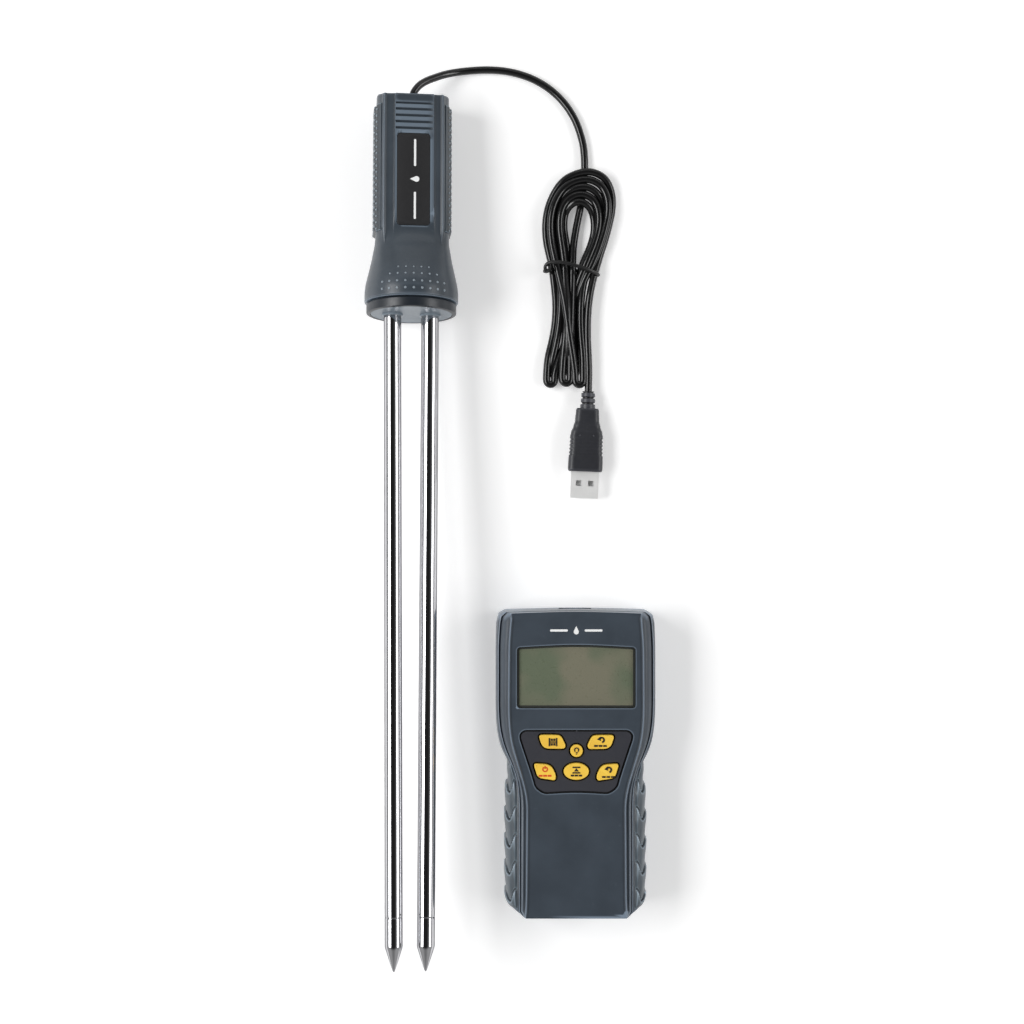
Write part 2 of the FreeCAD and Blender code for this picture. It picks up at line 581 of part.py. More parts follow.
handle_form = handle_loft("handle_form", 0)
handle_hollow = handle_loft("handle_hollow", S.shell, "bell_low - 0.5", "handle_long - shell")
side_spaces = [box(f"side_space_{n}", (8, "side_grip_long + 0.4", "side_grip_tall + 0.4"),
                   (f"{sign} * (handle_half - 1.7 + 4)", "side_grip_y + side_grip_long / 2",
                    "-side_grip_tall / 2 - 0.2")) for n, sign in enumerate((-1, 1))]
cord_bore = round_bar("cord_bore", 6.4, 20, (0, "handle_long - 10", 0), ALONG)
HANDLE_SCREWS = ((-9.5, 80.0), (9.5, 80.0), (-9.5, 34.5), (9.5, 34.5))


def handle_screw_tools(name, wide, low, tall):
    return [round_bar(f"{name}_{n}", wide, tall, (x, y, low)) for n, (x, y) in enumerate(HANDLE_SCREWS)]


label_space = prism("label_space", block("label_wide + 0.2", "label_long + 0.2", 0, "label_y"),
                    "handle_thick / 2 - 0.3", 4, 1.9)
grooves = [box(f"thumb_groove_{n}", (15, 0.9, 2), (0, f"76.6 + {n} * tooth_pitch",
                                                   "handle_thick / 2 - 0.35")) for n in range(5)]
over_half = box("over_half", (60, 130, 40), (0, 50, 0.02))
under_half = box("under_half", (60, 130, 40), (0, 50, -40))
over_skin = cut("over_skin", common("over_body", [handle_form, over_half]),
                [handle_hollow, *side_spaces, cord_bore])
over_bosses = common("over_bosses", [handle_form, join("over_boss_bars", handle_screw_tools(
    "over_boss", 5, 0.1, "handle_thick / 2 - 1"))])
handle_top = cut("handle_top_cut", join("handle_top_join", [over_skin, over_bosses]),
                 [label_space, *grooves, *handle_screw_tools("handle_pilot", 2.3, -5, 14)])
piece("handle_shell_top", handle_top, PROBE)
under_skin = cut("under_skin", common("under_body", [handle_form, under_half]),
                 [handle_hollow, *side_spaces, cord_bore])
under_bosses = common("under_bosses", [handle_form, join("under_boss_bars", handle_screw_tools(
    "under_boss", 6, "1 - handle_thick / 2", "handle_thick / 2 - 1.02"))])
handle_bottom = cut("handle_bottom_cut", join("handle_bottom_join", [under_skin, under_bosses]),
                    [*handle_screw_tools("handle_clear", 2.7, -20, 30),
                     *handle_screw_tools("handle_sink", 4.8, -20, "20 - handle_thick / 2 + 3")])
piece("handle_shell_bottom", handle_bottom, PROBE)
piece("handle_screws", [join(f"handle_screw_{n}", [
    round_bar(f"handle_screw_head_{n}", 4.2, 1.6, (x, y, "1.3 - handle_thick / 2")),
    round_bar(f"handle_screw_shank_{n}", 2.2, 14, (x, y, "2.8 - handle_thick / 2")),
]) for n, (x, y) in enumerate(HANDLE_SCREWS)], PROBE)
piece("handle_label", prism("label_form", block("label_wide", "label_long", 0, "label_y"),
                            "handle_thick / 2 - 0.25", "label_thick", 1.8), PROBE)

TEETH = 20
for number, (side, sign) in enumerate((("left", -1), ("right", 1))):
    pad_form = box(f"side_pad_{side}", (1.5, "side_grip_long", "side_grip_tall"),
                   (f"{sign} * (handle_half - 0.85)", "side_grip_y + side_grip_long / 2",
                    "-side_grip_tall / 2"))
    nicks = [box(f"nick_{side}_{n}", (1, 1.0, 30), (f"{sign} * (handle_half + 0.0)",
                                                  f"side_grip_y + ({n} + 0.5) * tooth_pitch", -15))
             for n in range(TEETH)]
    inside = common(f"side_inside_{side}", [handle_form, pad_form])
    piece(f"handle_grip_{side}", cut(f"handle_grip_form_{side}", inside, nicks), PROBE)

# nose of the probe: collar ring, face disc and the block that carries the rods
collar = cut("collar_cut", join("collar_join", [
    taper("collar_ring", "disc_wide + 0.6", "collar_wide", "bell_low - disc_thick - 0.1",
          (0, "disc_thick + 0.05", 0), ALONG),
    round_bar("collar_spigot", "bell_wide - 2 * shell - 1.4", 4.8, (0, "bell_low - 0.4", 0), ALONG),
]), [round_bar("collar_bore", "block_wide + 0.6", 30, (0, -1, 0), ALONG)])
piece("collar", collar, PROBE)
rod_holes = [round_bar(f"rod_hole_{n}", "bush_wide + 0.5", 40, (f"{sign} * rod_space / 2", -4, 0), ALONG)
             for n, sign in enumerate((-1, 1))]
piece("nose_disc", cut("disc_cut", round_bar("disc_form", "disc_wide", "disc_thick", (0, 0, 0), ALONG),
                       rod_holes), PROBE)
piece("rod_block", cut("block_cut", round_bar("block_form", "block_wide", "rod_inside - disc_thick - 0.1",
                                              (0, "disc_thick + 0.05", 0), ALONG), rod_holes), PROBE)

# rods: steel tubes with turned tips, each with its neck in an insulating bush
bushes = []
studs = []
for side, sign, lean in (("left", -1, S.left_lean), ("right", 1, S.right_lean)):
    offset = Placement(Vector(sign * S.rod_space / 2, 0, 0), Rotation(UP, -sign * lean))
    pose = PROBE.multiply(offset)
    tube = cut(f"rod_tube_{side}", join(f"rod_join_{side}", [
        round_bar(f"rod_outer_{side}", "rod_wide", "rod_long - tip_long - bush_proud - 0.05",
                  (0, "tip_long - rod_long", 0), ALONG),
        round_bar(f"rod_neck_{side}", "neck_wide", "bush_proud + rod_inside - 2",
                  (0, "-bush_proud - 0.05", 0), ALONG),
    ]), [round_bar(f"rod_bore_{side}", "rod_wide - 2 * rod_wall", 400, (0, -300, 0), ALONG)])
    piece(f"probe_rod_{side}", tube, pose)
    tip = join(f"tip_join_{side}", [
        taper(f"tip_cone_{side}", 0.6, "rod_wide", "cone_long", (0, "-rod_long", 0), ALONG),
        round_bar(f"tip_shank_{side}", "rod_wide", "tip_long - cone_long", (0, "cone_long - rod_long", 0),
                  ALONG),
        round_bar(f"tip_spigot_{side}", "rod_wide - 2 * rod_wall - 0.1", 10,
                  (0, "tip_long - rod_long - 0.1", 0), ALONG),
    ])
    piece(f"rod_tip_{side}", tip, pose)
    bush = cut(f"bush_cut_{side}", join(f"bush_join_{side}", [
        round_bar(f"bush_barrel_{side}", "bush_wide", "rod_inside - 2", (0, 0, 0), ALONG),
        taper(f"bush_lip_{side}", "bush_wide - 0.8", "bush_wide", "bush_proud", (0, "-bush_proud", 0),
              ALONG),
    ]), [round_bar(f"bush_bore_{side}", "neck_wide + 0.1", 60, (0, -5, 0), ALONG)])
    bush.Placement = offset
    bushes.append(bush)
    stud = join(f"stud_join_{side}", [
        round_bar(f"stud_plug_{side}", "rod_wide - 2 * rod_wall - 0.1", 10, (0, "rod_inside - 12", 0),
                  ALONG),
        round_bar(f"stud_thread_{side}", "stud_wide", 12, (0, "rod_inside - 2.1", 0), ALONG),
    ])
    stud.Placement = offset
    studs.append(stud)
piece("rod_bushes", bushes, PROBE)
piece("rod_studs", studs, PROBE)


def hex_nut(number, y):
    return cut(f"nut_{number}", hexagon(f"nut_form_{number}", 7.0, 3.0, y),
               [round_bar(f"nut_bore_{number}", "stud_wide + 0.2", 20, (0, f"{y} - 5", 0), ALONG)])


def hexagon(name, flats, thick, y):
    form = doc.addObject("Part::Prism", name)
    form.Polygon = 6
    bind(form, Circumradius=f"{flats} / {math.sqrt(3):.5f}", Height=thick)
    return shift(turn(form, ALONG), (0, y, 0))


nuts = []
lugs = []
for number, (sign, lean) in enumerate(((-1, S.left_lean), (1, S.right_lean))):
    offset = Placement(Vector(sign * S.rod_space / 2, 0, 0), Rotation(UP, -sign * lean))
    for order, y in enumerate((S.rod_inside + 0.2, S.rod_inside + 4.4)):
        nut = hex_nut(f"{number}_{order}", y)
        nut.Placement = offset
        nuts.append(nut)
    lug = cut(f"lug_{number}", join(f"lug_join_{number}", [
        round_bar(f"lug_ring_{number}", 7.6, 0.8, (0, "rod_inside + 3.4", 0), ALONG),
        box(f"lug_tail_{number}", (3.0, 0.8, 9.0), (0, "rod_inside + 3.8", "-9")),
    ]), [round_bar(f"lug_bore_{number}", "stud_wide + 0.2", 5, (0, "rod_inside + 1", 0), ALONG)])
    lug.Placement = offset
    lugs.append(lug)
piece("stud_nuts", nuts, PROBE)
piece("terminal_lugs", lugs, PROBE)

# signal board in the handle, its leads and the cord's clamp
piece("probe_board", [box("probe_board_form", (18, 36, 1.2), (0, 57, -2.0))], PROBE)
piece("probe_board_parts", [box("probe_chip", (6, 5, 1.4), (0, 56, -0.75)),
                            box("probe_trimmer", (6.6, 6.6, 4.2), (-4, 68, -0.75)),
                            round_bar("probe_capacitor", 5, 6, (5, 48, -0.75))], PROBE)
LEAD = [Vector(S.rod_space / 2, S.rod_inside + 4.5, -7.2), Vector(7.0, 28.4, -7.5),
        Vector(4.6, 33.0, -6.6), Vector(3.4, 38.5, -4.4), Vector(3.2, 44.0, -3.2)]
leads = []
for sign in (-1, 1):
    leads.append(pipe([Vector(sign * p.x, p.y, p.z) for p in LEAD], 1.3))
solid("rod_leads", Part.makeCompound(leads), PROBE)
clamp = cut("clamp_cut", box("clamp_form", (12, 4.6, 7), (0, 86.6, -3.5)),
            [round_bar("clamp_bore", "cord_wide + 0.2", 20, (0, 80, 0), ALONG)])
piece("cord_clamp", clamp, PROBE)
grommet = cut("grommet_cut", join("grommet_join", [
    round_bar("grommet_barrel", 6.0, 3.4, (0, "handle_long - 3", 0), ALONG),
    round_bar("grommet_lip", 8.0, 1.0, (0, "handle_long + 0.05", 0), ALONG),
]), [round_bar("grommet_bore", "cord_wide + 0.1", 20, (0, "handle_long - 10", 0), ALONG)])
piece("cord_grommet", grommet, PROBE)

# ---------------------------------------------------------------- cord, hank and plug
print("lead")
rest = S.cord_wide / 2 + 0.1
inside = PROBE.multVec(Vector(0, S.handle_long - 10, 0))
mouth = PROBE.multVec(Vector(0, S.handle_long + 1.4, 0))
LEAD_OUT = [inside, mouth] + [mouth + Vector(*step) for step in ((1.0, 3.6, -0.5), (3.6, 6.2, -1.6))]
LEAD_OUT += [Vector(*p) for p in (
    (-33.4, 190.9, 8.6), (-27.4, 194.0, 4.8), (-19.0, 196.1, rest), (-8.4, 196.7, rest),
    (2.0, 195.5, rest), (12.4, 191.7, rest), (21.4, 185.0, rest), (28.0, 175.9, rest),
    (31.4, 165.9, rest), (32.3, 158.5, rest), (32.4, 153.1, rest))]
solid("cord_lead", pipe(LEAD_OUT, S.cord_wide))

HANK = ((35.6, 153.0), (29.6, 153.0), (22.4, 143.0), (15.4, 129.3), (15.6, 119.5), (18.0, 110.0),
        (19.4, 92.5), (15.2, 73.5), (15.0, 63.5), (19.0, 59.7), (29.0, 59.1), (31.6, 64.5), (31.0, 90.5),
        (36.8, 110.0), (42.6, 125.5), (45.4, 137.5), (43.0, 147.0))
hank = prism("hank_form", HANK, "hank_low", "hank_top - hank_low")
piece("cord_hank", hank, Placement())

tie_outer = box("tie_outer", (22.4, "tie_broad", "hank_top + 1"), (27.4, 110.5, 0.1))
tie_inner = box("tie_inner", (20.8, 10, "hank_top - hank_low + 0.1"), (27.4, 110.5, "hank_low - 0.05"))
piece("wire_tie", cut("tie_cut", tie_outer, [tie_inner]), Placement())

plug_lie = Rotation(UP, -S.plug_lean)
PLUG = Placement(Vector(S.plug_x, S.plug_y, S.plug_z), plug_lie)
MOULD = (("mould_wide / 2", 0), ("mould_wide / 2 - 0.4", 15.5), ("mould_neck / 2 + 0.4", 20.4),
         ("mould_neck / 2", "mould_long"))
mould_ring = list(MOULD) + [(f"-({x})", y) for x, y in reversed(MOULD)]
piece("plug_body", prism("mould_form", mould_ring, "-mould_tall / 2", "mould_tall", 0.8), PLUG)
relief = taper("relief_form", "relief_wide + 0.8", "relief_wide", "relief_long", (0, "mould_long + 0.02", 0),
               ALONG)
piece("plug_relief", [relief], PLUG)
plug_tin = cut("plug_tin", box("plug_outer", ("plug_wide", "plug_long", "plug_tall"),
                               (0, "-plug_long / 2 - 0.02", "-plug_tall / 2")),
               [box("plug_mouth", ("plug_wide - 2 * tin", 30, "plug_tall - 2 * tin"),
                    (0, "-plug_long / 2", "tin - plug_tall / 2")),
                box("plug_window_left", (2.4, 2.4, 10), (-2.6, "-plug_long / 2 + 0.5", 0)),
                box("plug_window_right", (2.4, 2.4, 10), (2.6, "-plug_long / 2 + 0.5", 0))])
piece("plug_shell", plug_tin, PLUG)
piece("plug_tongue", [box("plug_tongue_form", ("plug_wide - 2 * tin - 0.1", "plug_long - 1", 1.7),
                          (0, "-plug_long / 2 + 0.45", "tin + 0.05 - plug_tall / 2"))], PLUG)

print("tail")
relief_end = PLUG.multVec(Vector(0, S.mould_long + S.relief_long + 0.2, 0))
TAIL = [Vector(33.0, 92.5, 4.7), Vector(33.4, 80.5, 4.5), Vector(34.0, 68.5, 4.2), relief_end]
doc.recompute()
solid("cord_tail", pipe(TAIL, S.cord_wide))

# ---------------------------------------------------------------- check and write
doc.recompute()
for item in doc.Objects:
    if "Invalid" in item.State or "Error" in item.State:
        raise RuntimeError(f"{item.Label}: {item.State}")
os.makedirs("parts", exist_ok=True)
for item in sub_parts:
    if item.Shape.isNull() or not item.Shape.isValid() or not item.Shape.Solids:
        raise RuntimeError(f"{item.Label}: shape is null, invalid or has no solid")
    item.Shape.exportStep(f"parts/{item.Label}.step")
print(len(sub_parts), "sub-parts")
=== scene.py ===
import json
import math

import bmesh
import bpy
from mathutils import Matrix, Vector


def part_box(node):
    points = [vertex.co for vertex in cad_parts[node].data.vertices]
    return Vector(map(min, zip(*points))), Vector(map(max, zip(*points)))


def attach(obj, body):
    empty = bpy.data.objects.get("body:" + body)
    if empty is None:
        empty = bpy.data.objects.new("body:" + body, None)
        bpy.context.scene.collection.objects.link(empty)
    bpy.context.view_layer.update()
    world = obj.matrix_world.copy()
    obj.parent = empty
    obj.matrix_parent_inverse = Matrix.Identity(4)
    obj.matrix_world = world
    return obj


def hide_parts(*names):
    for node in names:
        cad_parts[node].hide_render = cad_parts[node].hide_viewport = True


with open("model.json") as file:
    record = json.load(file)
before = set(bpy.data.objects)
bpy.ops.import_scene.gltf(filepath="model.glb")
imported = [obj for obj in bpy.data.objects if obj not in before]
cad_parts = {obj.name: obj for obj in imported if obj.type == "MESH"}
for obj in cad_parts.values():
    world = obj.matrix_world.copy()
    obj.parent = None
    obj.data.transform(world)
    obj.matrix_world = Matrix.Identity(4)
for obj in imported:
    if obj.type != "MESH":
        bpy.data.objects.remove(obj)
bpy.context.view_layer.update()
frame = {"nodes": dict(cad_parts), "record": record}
MM = 0.001


# ------------------------------------------------------------------ frames of the two housings
def meter_pose():
    low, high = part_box("front_shell")
    return Matrix.Translation(Vector(((low.x + high.x) / 2, (low.y + high.y) / 2, 0)))


def probe_pose():
    """Origin in the middle of the nose disc's face, +y towards the handle's end, +z out of its label."""
    pins = {m["name"]: m for m in frame["record"]["mounts"] if m["kind"] == "pin"}
    left, right = pins["rod_pin_left"], pins["rod_pin_right"]
    back = -(Vector(left["axis"]) * 0.25 + Vector(right["axis"]) * 0.75).normalized()
    across = Vector(right["pos_m"]) - Vector(left["pos_m"])
    across = (across - back * across.dot(back)).normalized()
    up = across.cross(back)
    low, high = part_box("nose_disc")
    origin = (low + high) / 2 - back * 0.7 * MM
    turned = Matrix((across, back, up)).transposed().to_4x4()
    return Matrix.Translation(origin) @ turned


def plug_pose():
    """Origin where the metal shell leaves the mould, +y back along the cord, +z up."""
    plug = next(m for m in frame["record"]["mounts"] if m["name"] == "probe_plug")
    back = -Vector(plug["axis"])
    side = back.cross(Vector((0, 0, 1))).normalized()
    turned = Matrix((side, back, Vector((0, 0, 1)))).transposed().to_4x4()
    return Matrix.Translation(Vector(plug["pos_m"]) + back * 11.8 * MM) @ turned


METER = meter_pose()
PROBE = probe_pose()
PLUG = plug_pose()


# ------------------------------------------------------------------ materials
def linear(red, green, blue):
    """An sRGB colour, 0 to 255, as a linear one."""
    return tuple((c / 255 / 12.92) if c <= 10 else ((c / 255 + 0.055) / 1.055) ** 2.4
                 for c in (red, green, blue)) + (1.0,)


class Look:
    """A node material with helpers for the patterns that every finish here shares."""

    def __init__(self, name, color, rough, metallic=0.0, coat=0.0):
        self.material = bpy.data.materials.new(name)
        self.material.use_nodes = True
        self.nodes = self.material.node_tree.nodes
        self.links = self.material.node_tree.links
        self.shader = self.nodes["Principled BSDF"]
        self.shader.inputs["Metallic"].default_value = metallic
        self.shader.inputs["Coat Weight"].default_value = coat
        self.shader.inputs["Coat Roughness"].default_value = 0.08
        self.place = self.nodes.new("ShaderNodeTexCoord").outputs["Object"]
        self.color = color
        self.rough = rough
        self.height = None

    def stretched(self, x, y, z):
        mapping = self.nodes.new("ShaderNodeMapping")
        mapping.inputs["Scale"].default_value = (x, y, z)
        self.links.new(self.place, mapping.inputs["Vector"])
        return mapping.outputs["Vector"]

    def noise(self, scale, detail=3.0, place=None):
        node = self.nodes.new("ShaderNodeTexNoise")
        node.inputs["Scale"].default_value = scale
        node.inputs["Detail"].default_value = detail
        self.links.new(place or self.place, node.inputs["Vector"])
        return node.outputs["Fac"]

    def spread(self, value, low, high, start=0.3, end=0.7):
        node = self.nodes.new("ShaderNodeMapRange")
        node.inputs["From Min"].default_value = start
        node.inputs["From Max"].default_value = end
        node.inputs["To Min"].default_value = low
        node.inputs["To Max"].default_value = high
        self.links.new(value, node.inputs["Value"])
        return node.outputs["Result"]

    def mix(self, factor, first, second):
        """A colour between two; each may be a colour or a socket."""
        node = self.nodes.new("ShaderNodeMix")
        node.data_type = "RGBA"
        self.links.new(factor, node.inputs["Factor"])
        for socket, value in (("A", first), ("B", second)):
            target = next(s for s in node.inputs if s.name == socket and s.type == "RGBA")
            if isinstance(value, tuple):
                target.default_value = value
            else:
                self.links.new(value, target)
        return next(s for s in node.outputs if s.type == "RGBA")

    def mottled(self, amount=0.12, scale=70.0):
        """Broad, soft variation of the base colour."""
        dark = tuple(c * (1 - amount) for c in self.color[:3]) + (1.0,)
        light = tuple(min(1.0, c * (1 + amount)) for c in self.color[:3]) + (1.0,)
        return self.mix(self.spread(self.noise(scale), 0, 1), dark, light)

    def scuffed(self, base, worn):
        """Small worn patches, lighter than the base."""
        return self.mix(self.spread(self.noise(420.0, 6), 0, 0.5, 0.66, 0.8), base, worn)

    def painted_shade_and_highlight(self, base, deep, edge_highlight):
        """Painted shade in creases and painted highlights on edges, found from how sharply the surface turns.
        """
        turn = self.nodes.new("ShaderNodeNewGeometry").outputs["Pointiness"]
        dark = tuple(c * deep for c in self.color[:3]) + (1.0,)
        light = tuple(min(1.0, c * edge_highlight + 0.01) for c in self.color[:3]) + (1.0,)
        # creases darkened as painted shade, convex edges lightened as painted highlights
        creased = self.mix(self.spread(turn, 1.0, 0.0, 0.44, 0.495), base, dark)
        return self.mix(self.spread(turn, 0.0, 1.0, 0.51, 0.57), creased, light)

    def bumps(self, value, strength, distance):
        node = self.nodes.new("ShaderNodeBump")
        node.inputs["Strength"].default_value = strength
        node.inputs["Distance"].default_value = distance
        self.links.new(value, node.inputs["Height"])
        if self.height is not None:
            self.links.new(self.height, node.inputs["Normal"])
        self.height = node.outputs["Normal"]

    def done(self, color, rough_by=None, rough_spread=0.08):
        self.links.new(color, self.shader.inputs["Base Color"])
        value = self.noise(900.0, 4) if rough_by is None else rough_by
        rough = self.spread(value, self.rough - rough_spread / 2, self.rough + rough_spread / 2)
        self.links.new(rough, self.shader.inputs["Roughness"])
        if self.height is not None:
            self.links.new(self.height, self.shader.inputs["Normal"])
        return self.material


def moulded(name, color, rough=0.45, grain=2600.0, depth=0.00002, worn=None, deep=0.45, edge_highlight=2.2, coat=0.0):
    """Moulded plastic or rubber: fine spark-eroded grain, broad mottling, light rubbed spots, painted shade in
    creases and painted highlights on edges.
    """
    look = Look(name, color, rough, coat=coat)
    look.bumps(look.noise(grain, 3), 0.5, depth)
    worn = worn or tuple(min(1.0, c * 1.5 + 0.01) for c in color[:3]) + (1.0,)
    return look.done(look.painted_shade_and_highlight(look.scuffed(look.mottled(), worn), deep, edge_highlight))


def brushed(name, color, rough, streak=0.1, metallic=1.0):
    """Metal with fine marks along y and slightly tarnished patches."""
    look = Look(name, color, rough, metallic=metallic)
    marks = look.noise(1.0, 4, look.stretched(900, 60, 900))
    look.bumps(marks, 0.12, 0.00001)
    dull = tuple(c * (1 - streak) for c in color[:3]) + (1.0,)
    return look.done(look.mix(look.spread(look.noise(160.0, 5), 0, 1), color, dull), marks, 0.1)


# the crease and edge factors of each finish below set painted shade in creases and painted highlights on edges
CASE = moulded("case_plastic", linear(62, 70, 79), 0.34, edge_highlight=4.0)
RUBBER = moulded("case_rubber", linear(75, 84, 91), 0.36, grain=1800.0, depth=0.00003, deep=0.12, edge_highlight=5.0)
HANDLE = moulded("handle_plastic", linear(59, 67, 75), 0.34, grain=3000.0, edge_highlight=4.0)
HANDLE_RUBBER = moulded("handle_rubber", linear(42, 49, 55), 0.36, deep=0.15, edge_highlight=6.0)
PANEL = moulded("panel_film", linear(41, 42, 50), 0.5, grain=4000.0, deep=0.2, edge_highlight=1.0)
LABEL = moulded("label_plate", linear(21, 21, 23), 0.5, grain=3500.0)
COLLAR = moulded("collar_gloss", linear(14, 20, 27), 0.36, depth=0.000005)
NOSE = moulded("nose_plastic", linear(120, 131, 141), 0.4, edge_highlight=1.1)
# dots and beads coloured lighter than the handle they sit on: painted highlights
HIGHLIGHT_DOT = moulded("bell_dot", linear(122, 132, 140), 0.3, edge_highlight=1.3)
BLOCK = moulded("block_phenolic", linear(96, 62, 38), 0.5)
YELLOW = moulded("key_yellow", linear(255, 204, 80), 0.34, grain=1500.0, depth=0.00001,
                 worn=linear(253, 214, 112), coat=0.15, deep=0.5, edge_highlight=1.1)
INK = moulded("key_ink", linear(24, 15, 8), 0.5, edge_highlight=1.0)
RED_INK = moulded("key_red_ink", linear(214, 70, 16), 0.5, edge_highlight=1.0)
WHITE_INK = moulded("white_ink", linear(240, 241, 241), 0.5, edge_highlight=1.0)
# black for the printed window border and dark parts, and also used as painted shade in the front shell's
# recesses
DARK = moulded("black_plastic_and_painted_shade", linear(7, 7, 9), 0.5, edge_highlight=1.0)
CORD = moulded("cord_sheath", linear(9, 9, 10), 0.17, grain=1500.0, depth=0.00001, edge_highlight=1.0)
PLUG_BLACK = moulded("plug_black", linear(40, 41, 46), 0.42, deep=0.15)
TIE = moulded("tie_sheath", linear(9, 9, 10), 0.4, edge_highlight=1.0)
WHITE = moulded("white_moulding", linear(214, 214, 208), 0.4)
BOARD = moulded("board_lacquer", linear(34, 92, 52), 0.3, grain=700.0, coat=0.4)
CHIP = moulded("chip_epoxy", linear(26, 26, 28), 0.5)
ELASTOMER = moulded("elastomer", linear(120, 120, 122), 0.6)
CELL = moulded("cell_jacket", linear(58, 66, 74), 0.3, grain=300.0, coat=0.5)
CHROME = brushed("rod_chrome", (0.62, 0.62, 0.64, 1.0), 0.06, streak=0.06)
CHROME.node_tree.nodes["Principled BSDF"].inputs["Specular Tint"].default_value = (0.02, 0.02, 0.02, 1.0)
NICKEL = brushed("nickel_plate", (0.60, 0.58, 0.54, 1.0), 0.28)
TIN = brushed("plug_tin", (0.86, 0.86, 0.85, 1.0), 0.34, metallic=0.2)
CAN = brushed("capacitor_can", (0.55, 0.56, 0.58, 1.0), 0.3)
GOLD = brushed("contact_gold", (0.80, 0.62, 0.28, 1.0), 0.22)


def display_look():
    """Liquid crystal cell seen through its window: olive grey with faint soft patches."""
    look = Look("display_cell", linear(112, 120, 98), 0.3)
    patch = look.noise(42.0, 2)
    warm = look.mix(look.spread(patch, 0, 1, 0.42, 0.6), linear(130, 126, 108), linear(103, 113, 92))
    fine = look.mix(look.spread(look.noise(2400.0, 2), 0, 0.25), warm, linear(118, 122, 104))
    return look.done(fine)


def lens_look():
    """Clear acrylic window with faint wipe marks."""
    look = Look("lens_acrylic", (0.16, 0.18, 0.14, 1.0), 0.06)
    look.shader.inputs["Alpha"].default_value = 0.06
    return look.done(look.mottled(0.05, 30.0), look.noise(1.0, 3, look.stretched(500, 60, 500)), 0.06)


DISPLAY = display_look()
LENS = lens_look()


# ------------------------------------------------------------------ mesh helpers, local millimetres
def flat(point, z):
    return (point[0], point[1], z)


def laid(loop, z):
    return [flat(p, z) for p in loop]


def mixed(a, b, f):
    return tuple(p + (q - p) * f for p, q in zip(a, b))


def smooth(value, start, end):
    f = min(1.0, max(0.0, (value - start) / (end - start)))
    return f * f * (3 - 2 * f)


def rounded(points, reach, steps=6):
    """A closed loop with each corner replaced by a curve that starts and ends reach from it."""
    out = []
    for i, here in enumerate(points):
        r = reach[i] if isinstance(reach, (list, tuple)) else reach
        if not r:
            out.append(tuple(here))
            continue
        ends = []
        for other in (points[i - 1], points[(i + 1) % len(points)]):
            ends.append(mixed(here, other, min(0.48, r / max(math.dist(here, other), 1e-6))))
        for k in range(steps + 1):
            t = k / steps
            out.append(mixed(mixed(ends[0], here, t), mixed(here, ends[1], t), t))
    return out


def mirrored(side):
    """A closed loop from its right side, whose last point lies on the middle line."""
    return list(side) + [(-p[0],) + tuple(p[1:]) for p in side[-2::-1]]


def grown(loop, by):
    """A closed loop moved outwards in plan, its corners mitred; it runs anticlockwise from above."""
    out = []
    count = len(loop)
    for i, p in enumerate(loop):
        a, b = loop[i - 1], loop[(i + 1) % count]
        before = Vector((p[0] - a[0], p[1] - a[1])).normalized()
        after = Vector((b[0] - p[0], b[1] - p[1])).normalized()
        way = before + after
        if way.length < 1e-6:
            way = after
        way.normalize()
        step = by / max(0.6, way.dot(after))
        out.append((p[0] + way.y * step, p[1] - way.x * step) + tuple(p[2:]))
    return out


def arc(radius, start, end, x=0.0, y=0.0, steps=10):
    out = []
    for k in range(steps + 1):
        a = math.radians(start + (end - start) * k / steps)
        out.append((x + radius * math.cos(a), y + radius * math.sin(a)))
    return out


def circle(radius, count, x=0.0, y=0.0):
    return arc(radius, 0, 360, x, y, count)[:-1]


def rectangle(wide, tall, x=0.0, y=0.0):
    return [(x - wide / 2, y - tall / 2), (x + wide / 2, y - tall / 2),
            (x + wide / 2, y + tall / 2), (x - wide / 2, y + tall / 2)]


class Shape:
    """Collects rings, caps and plates in local millimetres, and becomes one piece."""

    def __init__(self):
        self.bm = bmesh.new()

    def ring(self, points):
        return [self.bm.verts.new(p) for p in points]

    def bridge(self, a, b):
        for i in range(len(a)):
            j = (i + 1) % len(a)
            self.bm.faces.new((a[i], a[j], b[j], b[i]))

    def skin(self, rings, caps=(False, False)):
        made = [self.ring(r) for r in rings]
        for a, b in zip(made, made[1:]):
            self.bridge(a, b)
        if caps[0]:
            self.fill([made[0]])
        if caps[1]:
            self.fill([made[-1]])
        return made

    def fill(self, loops):
        """A flat face bounded by the first loop, with the others as holes."""
        edges = []
        for loop in loops:
            for a, b in zip(loop, loop[1:] + loop[:1]):
                edges.append(self.bm.edges.get((a, b)) or self.bm.edges.new((a, b)))
        bmesh.ops.triangle_fill(self.bm, use_beauty=True, use_dissolve=False, edges=edges)

    def slab(self, outline, low, high, edge):
        """A plate with a rounded upper edge; its outline runs anticlockwise."""
        rings = [laid(outline, low), laid(outline, high - edge)]
        for k in (1, 2, 3):
            angle = math.pi / 2 * k / 3
            rings.append([flat(p, high - edge + edge * math.sin(angle))
                          for p in grown(outline, -edge * (1 - math.cos(angle)))])
        self.skin(rings, (True, True))

    def placed(self, name, pose):
        """An object with this shape, out of local millimetres and into the scene."""
        mesh = bpy.data.meshes.new(name)
        self.bm.to_mesh(mesh)
        self.bm.free()
        mesh.transform(pose @ Matrix.Scale(MM, 4))
        item = bpy.data.objects.new(name, mesh)
        bpy.context.scene.collection.objects.link(item)
        return item

    def piece(self, name, material, pose, body="root", slot=None, stands_for=(), sharp=32.0):
        bmesh.ops.recalc_face_normals(self.bm, faces=self.bm.faces)
        item = self.placed(name, pose)
        item.data.materials.append(material)
        finish_shading(item.data, sharp)
        register(item, body, stands_for)
        return item


def finish_shading(mesh, sharp):
    for face in mesh.polygons:
        face.use_smooth = True
    mesh.set_sharp_from_angle(angle=math.radians(sharp))


def register(item, body, stands_for):
    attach(item, body)
    if stands_for:
        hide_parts(*stands_for)


